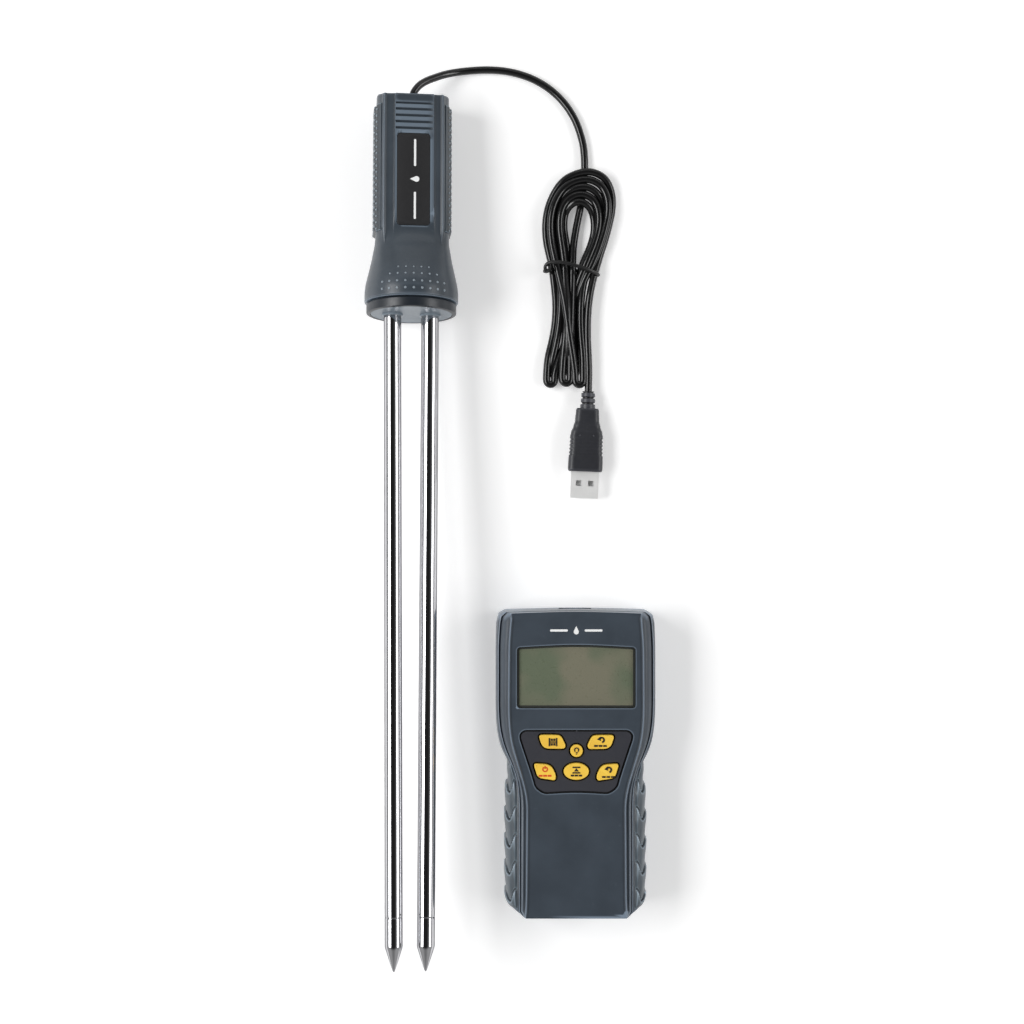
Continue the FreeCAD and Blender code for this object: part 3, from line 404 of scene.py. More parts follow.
def cut_with(item, tools):
    """Cuts closed helper shapes out of a piece, leaving no modifier."""
    for number, tool in enumerate(tools):
        change = item.modifiers.new(f"cut_{number}", "BOOLEAN")
        change.operation = "DIFFERENCE"
        change.solver = "EXACT"
        change.object = tool
        done = item.evaluated_get(bpy.context.evaluated_depsgraph_get())
        mesh = bpy.data.meshes.new_from_object(done)
        item.modifiers.clear()
        old = item.data
        item.data = mesh
        bpy.data.meshes.remove(old)
        bpy.data.objects.remove(tool)


def cutter(outline, low, high, pose):
    """A closed prism used only to cut."""
    shape = Shape()
    foot, roof = shape.ring(laid(outline, low)), shape.ring(laid(outline, high))
    shape.bm.faces.new(foot[::-1])
    shape.bm.faces.new(roof)
    shape.bridge(foot, roof)
    bmesh.ops.recalc_face_normals(shape.bm, faces=shape.bm.faces)
    return shape.placed("cutter", pose)


def turned(shape, profile, count, x=0.0, lean=0.0, caps=(True, True)):
    """Adds a solid of revolution about local y; the profile is (radius, y), lean in degrees."""
    tilt = math.tan(math.radians(lean))
    rings = []
    for radius, y in profile:
        rings.append([(px + x + y * tilt, y, pz) for px, pz in circle(radius, count)])
    shape.skin(rings, caps)


# ------------------------------------------------------------------ camera, floor and light
CAMERA_PLACE = (0.00085, 0.0054, 0.700)
FOCAL_LENGTH = 56.78
FLOOR_SIDE = 4000
FLOOR_GLOW = 0.28
# the studio's brightness falls from the walls to the ceiling between these two heights of view
WALLS_END, CEILING_STARTS = 0.55, 0.97
WALL_LIGHT, CEILING_LIGHT = 0.42, 0.02


def overhead_camera():
    data = bpy.data.cameras.new("camera")
    data.sensor_width = 36.0
    data.lens = FOCAL_LENGTH
    data.clip_start = 0.05
    item = bpy.data.objects.new("camera", data)
    item.location = CAMERA_PLACE
    bpy.context.scene.collection.objects.link(item)
    bpy.context.scene.camera = item


def floor():
    shape = Shape()
    shape.bm.faces.new(shape.ring(laid(rectangle(FLOOR_SIDE, FLOOR_SIDE), 0)))
    item = shape.placed("floor", Matrix())
    look = Look("floor_white", (0.93, 0.93, 0.93, 1.0), 0.8)
    look.shader.inputs["Emission Color"].default_value = (1.0, 1.0, 1.0, 1.0)
    look.shader.inputs["Emission Strength"].default_value = FLOOR_GLOW
    item.data.materials.append(look.done(look.mottled(0.01, 6.0)))


def softbox(name, place, target, wide, long, power):
    data = bpy.data.lights.new(name, "AREA")
    data.shape = "RECTANGLE"
    data.size = wide
    data.size_y = long
    data.energy = power
    item = bpy.data.objects.new(name, data)
    item.location = place
    item.rotation_euler = (Vector(target) - Vector(place)).to_track_quat("-Z", "Y").to_euler()
    bpy.context.scene.collection.objects.link(item)


overhead_camera()
floor()
softbox("left_box", (-0.80, 0.05, 0.80), (0, 0.02, 0), 0.9, 0.5, 9.8)
softbox("right_box", (0.95, 0.0, 0.65), (0, 0, 0), 0.9, 0.4, 5.2)
softbox("back_box", (0.1, 1.1, 0.8), (0, 0, 0), 1.2, 0.15, 1.0)


def studio():
    """A dim ceiling that brightens towards the walls, so that flat faces stay deep and edges catch light."""
    world = bpy.data.worlds.new("studio")
    bpy.context.scene.world = world
    world.use_nodes = True
    nodes, links = world.node_tree.nodes, world.node_tree.links
    place = nodes.new("ShaderNodeTexCoord")
    parts = nodes.new("ShaderNodeSeparateXYZ")
    fade = nodes.new("ShaderNodeMapRange")
    fade.interpolation_type = "SMOOTHSTEP"
    fade.inputs["From Min"].default_value = WALLS_END
    fade.inputs["From Max"].default_value = CEILING_STARTS
    fade.inputs["To Min"].default_value = WALL_LIGHT
    fade.inputs["To Max"].default_value = CEILING_LIGHT
    nodes["Background"].inputs["Color"].default_value = (1.0, 1.0, 1.0, 1.0)
    links.new(place.outputs["Generated"], parts.inputs["Vector"])
    links.new(parts.outputs["Z"], fade.inputs["Value"])
    links.new(fade.outputs["Result"], nodes["Background"].inputs["Strength"])


studio()
bpy.context.scene.view_settings.view_transform = "Standard"


# ------------------------------------------------------------------ cord, its hank, plug and tie
CORD_WIDE = 3.2
REST, UPPER = 1.7, 4.5  # heights of a strand on the floor and of one on top of it
TURNS = 5
STRANDS_APART = 1.6
TIE_Y, FOLD_Y, WAIST_X = 110.0, 66.0, 26.0
FOLD_RADIUS = 1.79
LEFT_SLOT, RIGHT_SLOT = 18.3, 35.9  # where the outermost turn passes under the tie
# the two ends of each run of stations round the hank's top: for its outermost and innermost turn
RISE = (((18.0, 112.5), (25.2, 113.0)), ((15.6, 122.0), (24.4, 121.0)), ((15.2, 131.0), (23.2, 127.5)),
        ((17.2, 140.0), (23.4, 133.5)), ((22.4, 148.4), (25.2, 137.0)))
CREST = (((29.6, 151.6), (28.2, 139.0)), ((36.0, 152.0), (31.8, 138.8)))
DROP = (((42.2, 148.6), (35.5, 135.6)), ((44.9, 139.4), (36.8, 128.0)), ((42.2, 126.5), (34.8, 120.0)),
        ((38.6, 115.5), (31.4, 113.0)))
# folds at the foot: middle x, lowest y, height, and how high their left and right strands pass halfway
FOLDS = ((24.2, 60.8, 4.6, 4.5, 4.6), (27.0, 64.5, 1.7, 7.4, 1.8), (19.6, 64.2, 1.7, 4.4, 1.7),
         (29.8, 60.2, 4.7, 7.4, 4.5), (17.5, 60.4, 3.2, 1.7, 1.7))
FALL_Y = (104.0, 96.0, 88.0, 80.0, 72.0)


def layer(turn):
    return REST if turn % 2 == 0 else UPPER


def fall(slot, foot, level):
    """A strand from its slot under the tie down to its fold, drawn in at the waist."""
    out = []
    for y in FALL_Y:
        t = (TIE_Y - y) / (TIE_Y - FOLD_Y)
        x = slot[0] + (foot[0] - slot[0]) * t
        x += (WAIST_X - x) * 0.30 * math.sin(math.pi * min(1.0, t * 1.15))
        w = math.sin(math.pi * t)
        out.append((x, y, (slot[1] + (foot[1] - slot[1]) * t) * (1 - w) + level * w))
    return out


def hank_turns():
    """The cord's way round the hank, from the lead's slot under the tie to the tail's."""
    out = []
    slot = (27.1, 3.9)
    for turn, (x, y, z, left_level, right_level) in enumerate(FOLDS):
        nest = TURNS - 1 - turn
        f = nest / (TURNS - 1)
        low = layer(nest)
        out += fall(slot, (x + STRANDS_APART, z), right_level)
        out += [(x + 1.75, y + 4.3, z)]
        out += laid(arc(FOLD_RADIUS, 0, -180, x, y + 1.65, 4), z)
        out += [(x - 1.75, y + 4.3, z)]
        out += fall((LEFT_SLOT + STRANDS_APART * nest, low), (x - STRANDS_APART, z), left_level)[::-1]
        for place, pair in enumerate(RISE):
            out.append(flat(mixed(*pair, f), low if place < 4 else max(low, 3.4)))
        out += [flat(mixed(*pair, f), 5.0) for pair in CREST]
        for place, pair in enumerate(DROP):
            out.append(flat(mixed(*pair, f), low if place else max(low, 3.4)))
        slot = (RIGHT_SLOT - STRANDS_APART * nest, low)
    return out


def spline(name, points, thick, material):
    """A round cord along one open NURBS spline, in millimetres."""
    data = bpy.data.curves.new(name, "CURVE")
    data.dimensions = "3D"
    line = data.splines.new("NURBS")
    line.points.add(len(points) - 1)
    for point, place in zip(line.points, points):
        point.co = (place[0] * MM, place[1] * MM, place[2] * MM, 1.0)
    line.order_u = 3
    line.use_endpoint_u = True
    data.resolution_u = 8
    data.bevel_depth = thick / 2 * MM
    data.bevel_resolution = 4
    data.use_fill_caps = True
    data.materials.append(material)
    item = bpy.data.objects.new(name, data)
    bpy.context.scene.collection.objects.link(item)
    return item


def in_millimetres(pose, x, y, z):
    return tuple(c / MM for c in pose @ (Vector((x, y, z)) * MM))


def cord_points():
    inside = in_millimetres(PROBE, 0, 82.5, 0)
    mouth = in_millimetres(PROBE, 0, 93.9, 0)
    out = [inside, mouth, (mouth[0] + 0.6, mouth[1] + 2.4, mouth[2] - 0.4),
           (mouth[0] + 2.6, mouth[1] + 5.2, mouth[2] - 1.2), (mouth[0] + 5.4, mouth[1] + 7.4, mouth[2] - 2.6)]
    out += [(-33.4, 190.9, 8.6), (-27.4, 194.0, 4.8), (-19.0, 196.1, REST), (-8.4, 196.7, REST),
            (2.0, 195.5, REST), (12.4, 191.7, REST), (21.4, 185.0, REST), (28.0, 175.9, REST),
            (31.4, 165.9, REST), (32.3, 158.5, REST), (32.2, 150.0, REST), (30.9, 139.0, REST),
            (28.9, 130.0, REST), (27.4, 121.0, 2.2), (27.0, 114.0, 3.4)]
    out += hank_turns()
    out += [(35.0, 103.0, 4.6), (33.4, 92.5, 4.7), (33.2, 80.5, 4.5), (33.9, 68.5, 4.2)]
    out += [in_millimetres(PLUG, 0, y, 0) for y in (34.4, 30.0, 14.0)]
    return out


cord = spline("cord", cord_points(), CORD_WIDE, CORD)


def plug_mould():
    """Black overmould: two flats and round sides, wider to the front, with finger ribs each side."""
    shape = Shape()
    stations = [(-0.3, 6.9, 3.5), (0.0, 7.25, 3.85), (0.5, 7.4, 4.0), (14.0, 7.15, 4.0), (16.5, 6.7, 3.9),
                (19.0, 5.8, 3.6), (21.5, 5.2, 3.3), (26.2, 4.95, 3.1), (26.9, 4.6, 2.8)]
    rings = []
    steps = 72
    for row in range(steps + 1):
        y = stations[0][0] + (stations[-1][0] - stations[0][0]) * row / steps
        below = max(s for s in stations if s[0] <= y + 1e-6)
        above = min(s for s in stations if s[0] >= y - 1e-6)
        f = 0.0 if above[0] == below[0] else smooth(y, below[0], above[0])
        _, wide, tall = mixed(below, above, f)
        ribs = smooth(y, 6.4, 7.0) * (1 - smooth(y, 14.2, 14.8))
        wide -= ribs * 0.45 * (0.5 + 0.5 * math.cos(math.tau * (y - 7.0) / 1.6))
        rings.append([(x, y, z) for x, z in rounded(rectangle(wide * 2, tall * 2), 2.6, 6)])
    shape.skin(rings, (True, True))
    for x in (-2.9, 2.9):
        dome(shape, Vector((x, 15.0, 4.0)), Vector((0, 0, 1)), 0.45, 0.3)
    return shape.piece("plug_mould", PLUG_BLACK, PLUG, slot="plug_black", stands_for=["plug_body"])


def dome(shape, place, normal, radius, height):
    """A small round bump standing on a surface."""
    side = normal.orthogonal().normalized()
    across = normal.cross(side)
    rings = []
    for wide, up in ((1.0, -0.3), (1.0, 0.0), (0.8, 0.55), (0.45, 0.88)):
        rings.append([tuple(place + normal * up * height + side * x + across * y)
                      for x, y in circle(radius * wide, 10)])
    shape.skin(rings, (True, True))


def strain_relief():
    """Rubber sleeve with three grooves."""
    shape = Shape()
    profile = [(1.8, 26.6), (3.1, 26.6), (3.2, 26.95)]
    for rib in range(3):
        start = 27.0 + rib * 2.4
        wide = 3.2 - 0.12 * rib
        profile += [(wide, start + 0.1), (wide, start + 1.5), (wide - 0.2, start + 1.7),
                    (wide - 0.75, start + 1.8), (wide - 0.75, start + 2.2)]
    profile += [(2.75, 34.1), (2.5, 34.25), (1.8, 34.25)]
    turned(shape, profile, 36)
    return shape.piece("relief", PLUG_BLACK, PLUG, slot="cord", stands_for=["plug_relief"])


def tie_wire():
    """Coated wire round the hank, its ends twisted together at the left and curled at the right."""
    points = [(15.4, 108.6, 6.4), (14.8, 110.2, 7.2), (15.8, 111.9, 8.0), (18.0, 112.4, 8.8),
              (21.5, 112.4, 9.4), (26.2, 111.4, 9.6), (31.0, 110.0, 9.0), (35.4, 108.6, 7.6),
              (38.0, 107.6, 5.0), (38.2, 107.6, 2.4), (36.4, 108.4, 0.9), (30.0, 109.8, 0.8),
              (22.0, 110.6, 0.8), (17.0, 110.2, 0.9), (15.0, 109.6, 2.4), (14.8, 109.0, 4.6),
              (16.0, 108.6, 6.6), (17.4, 109.6, 7.8), (16.8, 111.0, 8.6)]
    item = spline("tie_wire", points, 1.5, TIE)
    register(item, "root", ["wire_tie"])
    return item


relief = strain_relief()
mould = plug_mould()
tie = tie_wire()
register(cord, "root", ["cord_lead", "cord_hank", "cord_tail"])


# ------------------------------------------------------------------ meter case
# right side from the tail up: widest outline, edge of the flat face, and the bead where the soft
# grip or the rounded side starts (with its height); and how much of the grip's depth the shell gives up
SIDE = (
    ((15.0, -64.5), (15.0, -63.8), (15.0, -64.05, 25.6), 0.0),
    ((21.2, -64.5), (20.9, -63.8), (21.6, -64.05, 25.6), 0.0),
    ((25.9, -61.6), (20.9, -61.5), (22.9, -62.3, 25.6), 0.7),
    ((28.4, -60.0), (20.9, -60.4), (23.5, -61.6, 25.6), 1.0),
    ((29.5, -56.0), (20.7, -56.0), (23.6, -56.0, 26.0), 1.0),
    ((29.5, -13.0), (20.4, -15.0), (23.6, -14.0, 26.0), 1.0),
    ((28.5, -7.0), (22.0, -7.5), (24.2, -7.5, 25.9), 1.0),
    ((28.6, -1.0), (24.4, 0.5), (26.2, -1.0, 25.2), 1.0),
    ((31.6, 6.0), (26.9, 9.0), (29.7, 6.4, 24.4), 0.0),
    ((33.2, 13.0), (27.8, 16.0), (31.7, 13.6, 23.9), 0.0),
    ((33.7, 22.0), (28.1, 23.0), (32.4, 22.0, 23.7), 0.0),
    ((33.7, 50.0), (27.9, 50.0), (32.4, 50.0, 23.7), 0.0),
    ((33.4, 59.0), (27.2, 59.0), (31.8, 59.0, 23.7), 0.0),
    ((32.5, 62.2), (27.0, 61.0), (31.2, 61.6, 23.6), 0.0),
    ((29.8, 63.7), (26.9, 63.0), (28.9, 63.4, 24.0), 0.0),
    ((0.0, 64.5), (0.0, 63.9), (0.0, 64.35, 24.8), 0.0),
)
REACH = (0, 0, 0, 0, 3, 5, 3, 3.5, 4, 4, 4, 5, 1.0, 0, 0, 20)
REACH = list(REACH) + list(REACH[-2::-1])
FACE_Z = 28.0
SIDE_Z = 16.5  # where the rounded shoulder under the face ends
PARTING = 13.0
BORDER_DEEP, PANEL_DEEP = 1.5, 0.75
KEY_GAP = 0.65


def outline(column):
    return rounded(mirrored([row[column] for row in SIDE]), REACH)


def shell_outline(inset):
    side = [(row[0][0] - inset * row[3], row[0][1]) for row in SIDE]
    return rounded(mirrored(side), REACH)


OUTER = outline(0)
FACE = outline(1)
BEAD = outline(2)
SHELL = shell_outline(0.9)


def side_at(loop, y):
    """The point of a loop's right side at a given y; heights follow."""
    right = sorted((p for p in loop if p[0] > 0), key=lambda p: p[1])
    for a, b in zip(right, right[1:]):
        if a[1] <= y <= b[1] and b[1] > a[1]:
            return mixed(a, b, (y - a[1]) / (b[1] - a[1]))
    return right[0] if y < right[0][1] else right[-1]


WINDOW = rounded([(-24.75, 23.6), (24.75, 23.6), (24.75, 49.0), (0, 50.4), (-24.75, 49.0)],
                 [1.6, 1.6, 1.6, 22, 1.6], 7)
PANEL_HALF = ((13.6, -12.2), (17.3, -9.6), (18.4, -5.2), (24.2, 12.3), (22.0, 14.7))
PANEL_RING = rounded([(0, -11.4)] + list(PANEL_HALF) + [(-x, y) for x, y in PANEL_HALF[::-1]],
                     [11, 1.8, 1.8, 5, 2.6, 1.6, 1.6, 2.6, 5, 1.8, 1.8], 6)


def flipped(points):
    return [(-x, y) for x, y in points[::-1]]


CORNER_KEY = rounded(((-5.8, 2.9), (-3.9, -2.8), (5.1, -2.9), (5.6, -1.4), (3.6, 2.7), (1.0, 2.9)),
                     [1.7, 2.6, 1.2, 1.0, 1.6, 1.8])
FOOT_KEY = rounded(((-4.9, 3.4), (-3.0, -2.7), (4.3, -3.8), (4.6, -1.6), (2.5, 2.8)),
                   [1.7, 1.9, 1.2, 1.4, 2.4])
KEYS = {
    "mode": (-10.0, 9.7, CORNER_KEY),
    "next": (10.2, 9.6, flipped(CORNER_KEY)),
    "lamp": (0.1, 6.0, circle(2.6, 28)),
    "power": (-13.0, -2.6, FOOT_KEY),
    "hold": (0.0, -2.6, [(x * 5.25, y * 3.5) for x, y in circle(1.0, 36)]),
    "back": (13.0, -2.7, flipped(FOOT_KEY)),
}


def moved(points, x, y):
    return [(px + x, py + y) for px, py in points]


def anticlockwise(points):
    area = sum(a[0] * b[1] - b[0] * a[1] for a, b in zip(points, points[1:] + points[:1]))
    return points if area > 0 else points[::-1]


def key_hole(x, y, ring):
    return moved(grown(anticlockwise(ring), KEY_GAP), x, y)


def ridge(point):
    """How strongly the ridges stand out: fully along the sides, not along the two ends."""
    return (1 - smooth(point[1], 61.8, 62.9)) * smooth(point[1], -63.6, -62.3)


def front_shell():
    shape = Shape()

    def along(loop, out, up):
        least = 1.0 if out < -1.0 else 0.15
        return [flat(mixed(p[:2], q[:2], least + (1 - least) * ridge(p)),
                     (p[2] if len(p) > 2 else FACE_Z) + up * ridge(p))
                for p, q in zip(loop, grown(loop, out))]

    rings = [along(FACE, out, up) for out, up in
             ((-2.1, 0.0), (-1.7, 0.0), (-1.25, 0.0), (-0.8, 0.03), (-0.5, 0.3), (-0.25, 0.6),
              (0.0, 0.66), (0.2, 0.5), (0.4, 0.0), (0.55, -0.6), (0.75, -0.85))]
    groove = along(FACE, 0.75, 0.0)
    for f in (0.15, 0.35, 0.55, 0.75):
        rings.append([flat(mixed(a[:2], b[:2], f), (FACE_Z - 0.85 * ridge(a)) * (1 - f) + (b[2] - 0.1) * f
                           + 0.5 * math.sin(math.pi * f) * ridge(a)) for a, b in zip(groove, BEAD)])
    rings += [along(BEAD, out, up) for out, up in
              ((-0.45, -0.45), (-0.25, 0.15), (0.0, 0.32), (0.22, 0.2), (0.4, -0.3))]
    for turn in (0.25, 0.5, 0.75, 1.0):
        a = math.pi / 2 * turn
        rings.append([flat(mixed(b[:2], o, math.sin(a) ** 0.9),
                           SIDE_Z + (b[2] - 0.35 - SIDE_Z) * math.cos(a))
                      for b, o in zip(along(BEAD, 0.45, 0.0), SHELL)])
    rings += [laid(SHELL, PARTING + 0.35), laid(grown(SHELL, -0.25), PARTING + 0.08),
              laid(grown(SHELL, -2.0), PARTING + 0.08)]
    made = shape.skin(rings)
    holes = []
    for ring, depth in ((WINDOW, BORDER_DEEP), (PANEL_RING, PANEL_DEEP)):
        walls = shape.skin([laid(grown(ring, out), FACE_Z) for out in (0.9, 0.5, 0.0)]
                           + [laid(grown(ring, -0.08), FACE_Z - 0.12), laid(grown(ring, -0.1), FACE_Z - depth)])
        holes.append(walls[0])
        if ring is PANEL_RING:
            wells = []
            for key in KEYS.values():
                well = key_hole(*key)
                wells.append(shape.skin([laid(well, FACE_Z - depth), laid(well, 25.0)])[0])
            shape.fill([walls[-1]] + wells)
        else:
            ledge = shape.ring(laid(grown(ring, -0.4), FACE_Z - depth))
            shape.bridge(walls[-1], ledge)
    shape.fill([made[0]] + holes)
    item = shape.piece("meter_front", CASE, METER, slot="case", stands_for=["front_shell"], sharp=24)
    cut_with(item, [socket_mouth()])
    finish_shading(item.data, 24)
    # faces sunk below the face in the window and key recesses take the black material as painted shade
    item.data.materials.append(DARK)
    for face in item.data.polygons:
        place = METER.inverted() @ face.center / MM
        if place.z < FACE_Z - 0.03 and abs(place.x) < 25.2 and -12.6 < place.y < 51.0 and place.z > 24.5:
            face.material_index = 1 if abs(place.x) < side_at(FACE, place.y)[0] - 1.5 else 0


def socket_mouth():
    """The opening for the probe's plug in the head end, across the parting line."""
    return cutter(rounded(rectangle(13.8, 16.8, 0, 58.2), 0.3, 2), 9.5, 15.7, METER)


def rear_shell():
    shape = Shape()
    rings = [laid(grown(SHELL, -2.0), PARTING - 0.08), laid(grown(SHELL, -0.25), PARTING - 0.08),
             laid(SHELL, PARTING - 0.35), laid(SHELL, 6.6)]
    for turn in (0.2, 0.4, 0.6, 0.8, 1.0):
        a = math.pi / 2 * turn
        rings.append([flat(mixed(s, o, math.sin(a * 0.9)), 6.0 * (1 - math.sin(a)))
                      for s, o in zip(grown(SHELL, -4.0 * (1 - math.cos(a))),
                                      grown(OUTER, -4.0 * (1 - math.cos(a))))])
    shape.skin(rings, (True, True))
    item = shape.piece("meter_rear", CASE, METER, slot="case", stands_for=["rear_shell"], sharp=28)
    bay = rounded(rectangle(46.4, 51.4, 0, -31.9), 1.0, 3)
    mouth = rounded(rectangle(43.2, 60.4, 0, -36.5), 0.6, 3)
    rails = rectangle(45.4, 58.0, 0, -36.8)
    tools = [cutter(bay, 2.6, 12.7, METER), cutter(mouth, -1.0, 2.7, METER), cutter(rails, 1.0, 2.7, METER)]
    tools += [cutter(circle(2.6, 24, x, y), -1.0, 4.0, METER) for x in (-23.5, 23.5) for y in (0.5, 58.0)]
    cut_with(item, tools + [socket_mouth()])
    finish_shading(item.data, 28)


def battery_cover():
    """Sliding cover with a ribbed thumb patch, level with the back."""
    shape = Shape()
    plate = rounded(rectangle(42.9, 55.5, 0, -34.25), 1.0, 4)
    shape.skin([laid(plate, 2.35), laid(plate, 0.6),
                laid(grown(plate, -0.08), 0.42), laid(grown(plate, -0.25), 0.35)], (True, True))
    for side in (-1, 1):
        tongue = rounded(rectangle(1.3, 50.0, side * 21.9, -34.0), 0.3, 2)
        shape.skin([laid(tongue, 1.25), laid(tongue, 2.3)], (True, True))
    for rib in range(6):
        bar = rounded(rectangle(15.0 - abs(rib - 2.5) * 1.6, 0.9, 0, -16.0 - rib * 1.7), 0.4, 3)
        shape.skin([laid(bar, 0.5), laid(bar, 0.12), laid(grown(bar, -0.18), 0.04)], (True, True))
    shape.piece("meter_battery_cover", CASE, METER, "cell_door", "case", ["battery_cover"])


GRIP_LOW, GRIP_HIGH = -61.4, 0.9
RIB_FIRST, RIB_PITCH = -9.0, 11.4


def grip_height(y, across):
    """How far the rubber stands out: scales whose upper edges overlap like shingles, and which end
    in a hooked notch towards the case's face. across is 0 at the face and 1 on the side."""
    hook = 3.0 * smooth(1 - across, 0.0, 0.42) - 5.6 * smooth(1 - across, 0.44, 0.84)
    phase = (RIB_FIRST - (y + hook)) / RIB_PITCH
    part = phase - math.floor(phase)
    lip = smooth(part, 0.0, 0.07) * (1 - 0.75 * smooth(part, 0.12, 0.98))
    notch = 1 - smooth(part, 0.0, 0.05) * (1 - smooth(part, 0.95, 1.0))
    strength = smooth(across, 0.1, 0.22)
    ends = smooth(y, GRIP_LOW, GRIP_LOW + 3) * (1 - smooth(y, GRIP_HIGH - 5, GRIP_HIGH))
    return strength * ends * (lip - 0.45 * notch)


def side_grip(side, name):
    shape = Shape()
    rows = 280
    outer, inner = [], []
    for row in range(rows + 1):
        y = GRIP_LOW + (GRIP_HIGH - GRIP_LOW) * row / rows
        bead, edge = side_at(BEAD, y), side_at(OUTER, y)
        end = min(1.0, (GRIP_HIGH - y) / 2.2, (y - GRIP_LOW) / 1.2)
        tuck = 0.9 * (1 - math.sqrt(max(0.0, 1 - (1 - end) ** 2)))
        line = []
        for step in range(41):
            f = step / 40
            if f < 0.6:
                a = math.pi / 2 * f / 0.6
                x = bead[0] + 0.55 + (edge[0] - 0.35 - bead[0] - 0.55) * math.sin(a)
                z = 16.0 + (bead[2] - 0.4 - 16.0) * math.cos(a)
                normal = (math.sin(a), math.cos(a))
            elif f < 0.9:
                x, z = edge[0] - 0.35, 16.0 - 11.0 * (f - 0.6) / 0.3
                normal = (1.0, 0.0)
            else:
                a = (f - 0.9) / 0.1 * math.pi / 2
                x, z = edge[0] - 0.35 - 1.4 * (1 - math.cos(a)), 5.0 - 1.5 * math.sin(a)
                normal = (math.cos(a), -math.sin(a))
            rise = grip_height(y, min(1.0, f / 0.5)) * (1 - smooth(f, 0.88, 0.97))
            edge_round = 0.35 * (1 - smooth(f, 0.0, 0.04)) + tuck
            line.append((x, z, normal, rise - edge_round))
        outer.append([(side * (x + n[0] * d), y, z + n[1] * d) for x, z, n, d in line])
        inner.append([(side * (x - n[0] * 1.1), y, z - n[1] * 1.1) for x, z, n, d in line])
    rings = [a + b[::-1] for a, b in zip(outer, inner)]
    shape.skin(rings, (True, True))
    shape.piece(name, RUBBER, METER, slot="case_grip",
                stands_for=[f"side_grip_{'left' if side < 0 else 'right'}"], sharp=40)


def key_panel():
    shape = Shape()
    ring = grown(PANEL_RING, -0.8)
    made = shape.skin([laid(ring, FACE_Z - 0.7), laid(ring, FACE_Z - 0.12), laid(grown(ring, -0.12), FACE_Z)])
    tops, feet = [], []
    for key in KEYS.values():
        hole = key_hole(*key)
        walls = shape.skin([laid(grown(hole, 0.1), FACE_Z), laid(hole, FACE_Z - 0.1),
                            laid(hole, FACE_Z - 0.7)])
        tops.append(walls[0])
        feet.append(walls[-1])
    shape.fill([made[-1]] + tops)
    shape.fill([made[0]] + feet)
    dome(shape, Vector((0.2, 14.1, FACE_Z)), Vector((0, 0, 1)), 0.35, 0.15)
    shape.piece("meter_key_panel", PANEL, METER, slot="panel", stands_for=["key_panel"])


def key_cap(name, x, y, ring):
    """A key with a painted highlight along its rim, a rolled edge and a slightly crowned top."""
    shape = Shape()
    ring = moved(anticlockwise(ring), x, y)
    levels = ((0.0, 25.2), (0.0, 28.5), (0.08, 28.75), (0.25, 28.92), (0.5, 28.95), (0.7, 28.88),
              (0.85, 28.88))
    rings = [laid(grown(ring, -inset), z) for inset, z in levels]
    shape.skin(rings, (True, True))
    shape.piece(f"{name}_key", YELLOW, METER, f"{name}_button", "key_yellow", [f"key_{name}"])


def marks(name, x, y, shapes, material):
    """Printed marks of a key, as thin solid shapes just above its top."""
    shape = Shape()
    for ring in shapes:
        ring = moved(anticlockwise(ring), x, y)
        shape.skin([laid(ring, 28.9), laid(ring, 29.0)], (True, True))
    shape.piece(f"{name}_mark", material, METER, f"{name}_button", "key_yellow")


def stroke(points, wide):
    """A line of some width as one closed outline."""
    left, right = [], []
    for i, p in enumerate(points):
        a = points[max(0, i - 1)]
        b = points[min(len(points) - 1, i + 1)]
        dx, dy = b[0] - a[0], b[1] - a[1]
        size = math.hypot(dx, dy)
        left.append((p[0] - dy / size * wide / 2, p[1] + dx / size * wide / 2))
        right.append((p[0] + dy / size * wide / 2, p[1] - dx / size * wide / 2))
    return left + right[::-1]


def underline(y, wide=5.2):
    return [rectangle(wide * 0.29, 0.75, wide * (n - 1) * 0.36, y) for n in range(3)]


HOOK = [stroke(arc(1.0, -80, 130, 0.2, 0.75), 0.75), [(-1.7, 1.0), (-0.1, 0.4), (-0.3, 2.2)]]


def key_marks():
    grid = [stroke([(-1.5, -1.7), (-1.5, 1.7)], 0.6), stroke([(1.5, -1.7), (1.5, 1.7)], 0.6)]
    grid += [rectangle(0.85, 1.0, x, y) for x in (-0.55, 0.55) for y in (-0.95, 0.95)]
    grid += [rectangle(2.2, 0.5, 0, 0)]
    marks("mode", -9.7, 9.7, grid, INK)
    marks("next", 10.0, 9.6, [moved(s, 0.3, 0.2) for s in HOOK] + underline(-1.5), INK)
    marks("back", 13.3, -2.7, [moved(s, 0.0, 0.1) for s in HOOK] + underline(-2.1), INK)
    bulb = [stroke(arc(0.85, -50, 230, 0, 0.4, 14), 0.5), rectangle(0.8, 0.4, 0, -0.65),
            rectangle(0.55, 0.4, 0, -1.25)]
    marks("lamp", 0.1, 6.0, bulb, INK)
    marks("hold", 0.0, -2.6, [[(-1.0, 0.1), (1.0, 0.1), (0.0, 1.4)], rectangle(3.2, 0.6, 0, 1.8),
                              rectangle(3.2, 0.6, 0, -0.5)] + underline(-1.6, 4.6), INK)
    power = [stroke(arc(0.95, 120, 420, 0, 1.0, 14), 0.5), rectangle(0.45, 1.2, 0, 1.8)]
    marks("power", -13.0, -2.6, power + underline(-1.7), RED_INK)


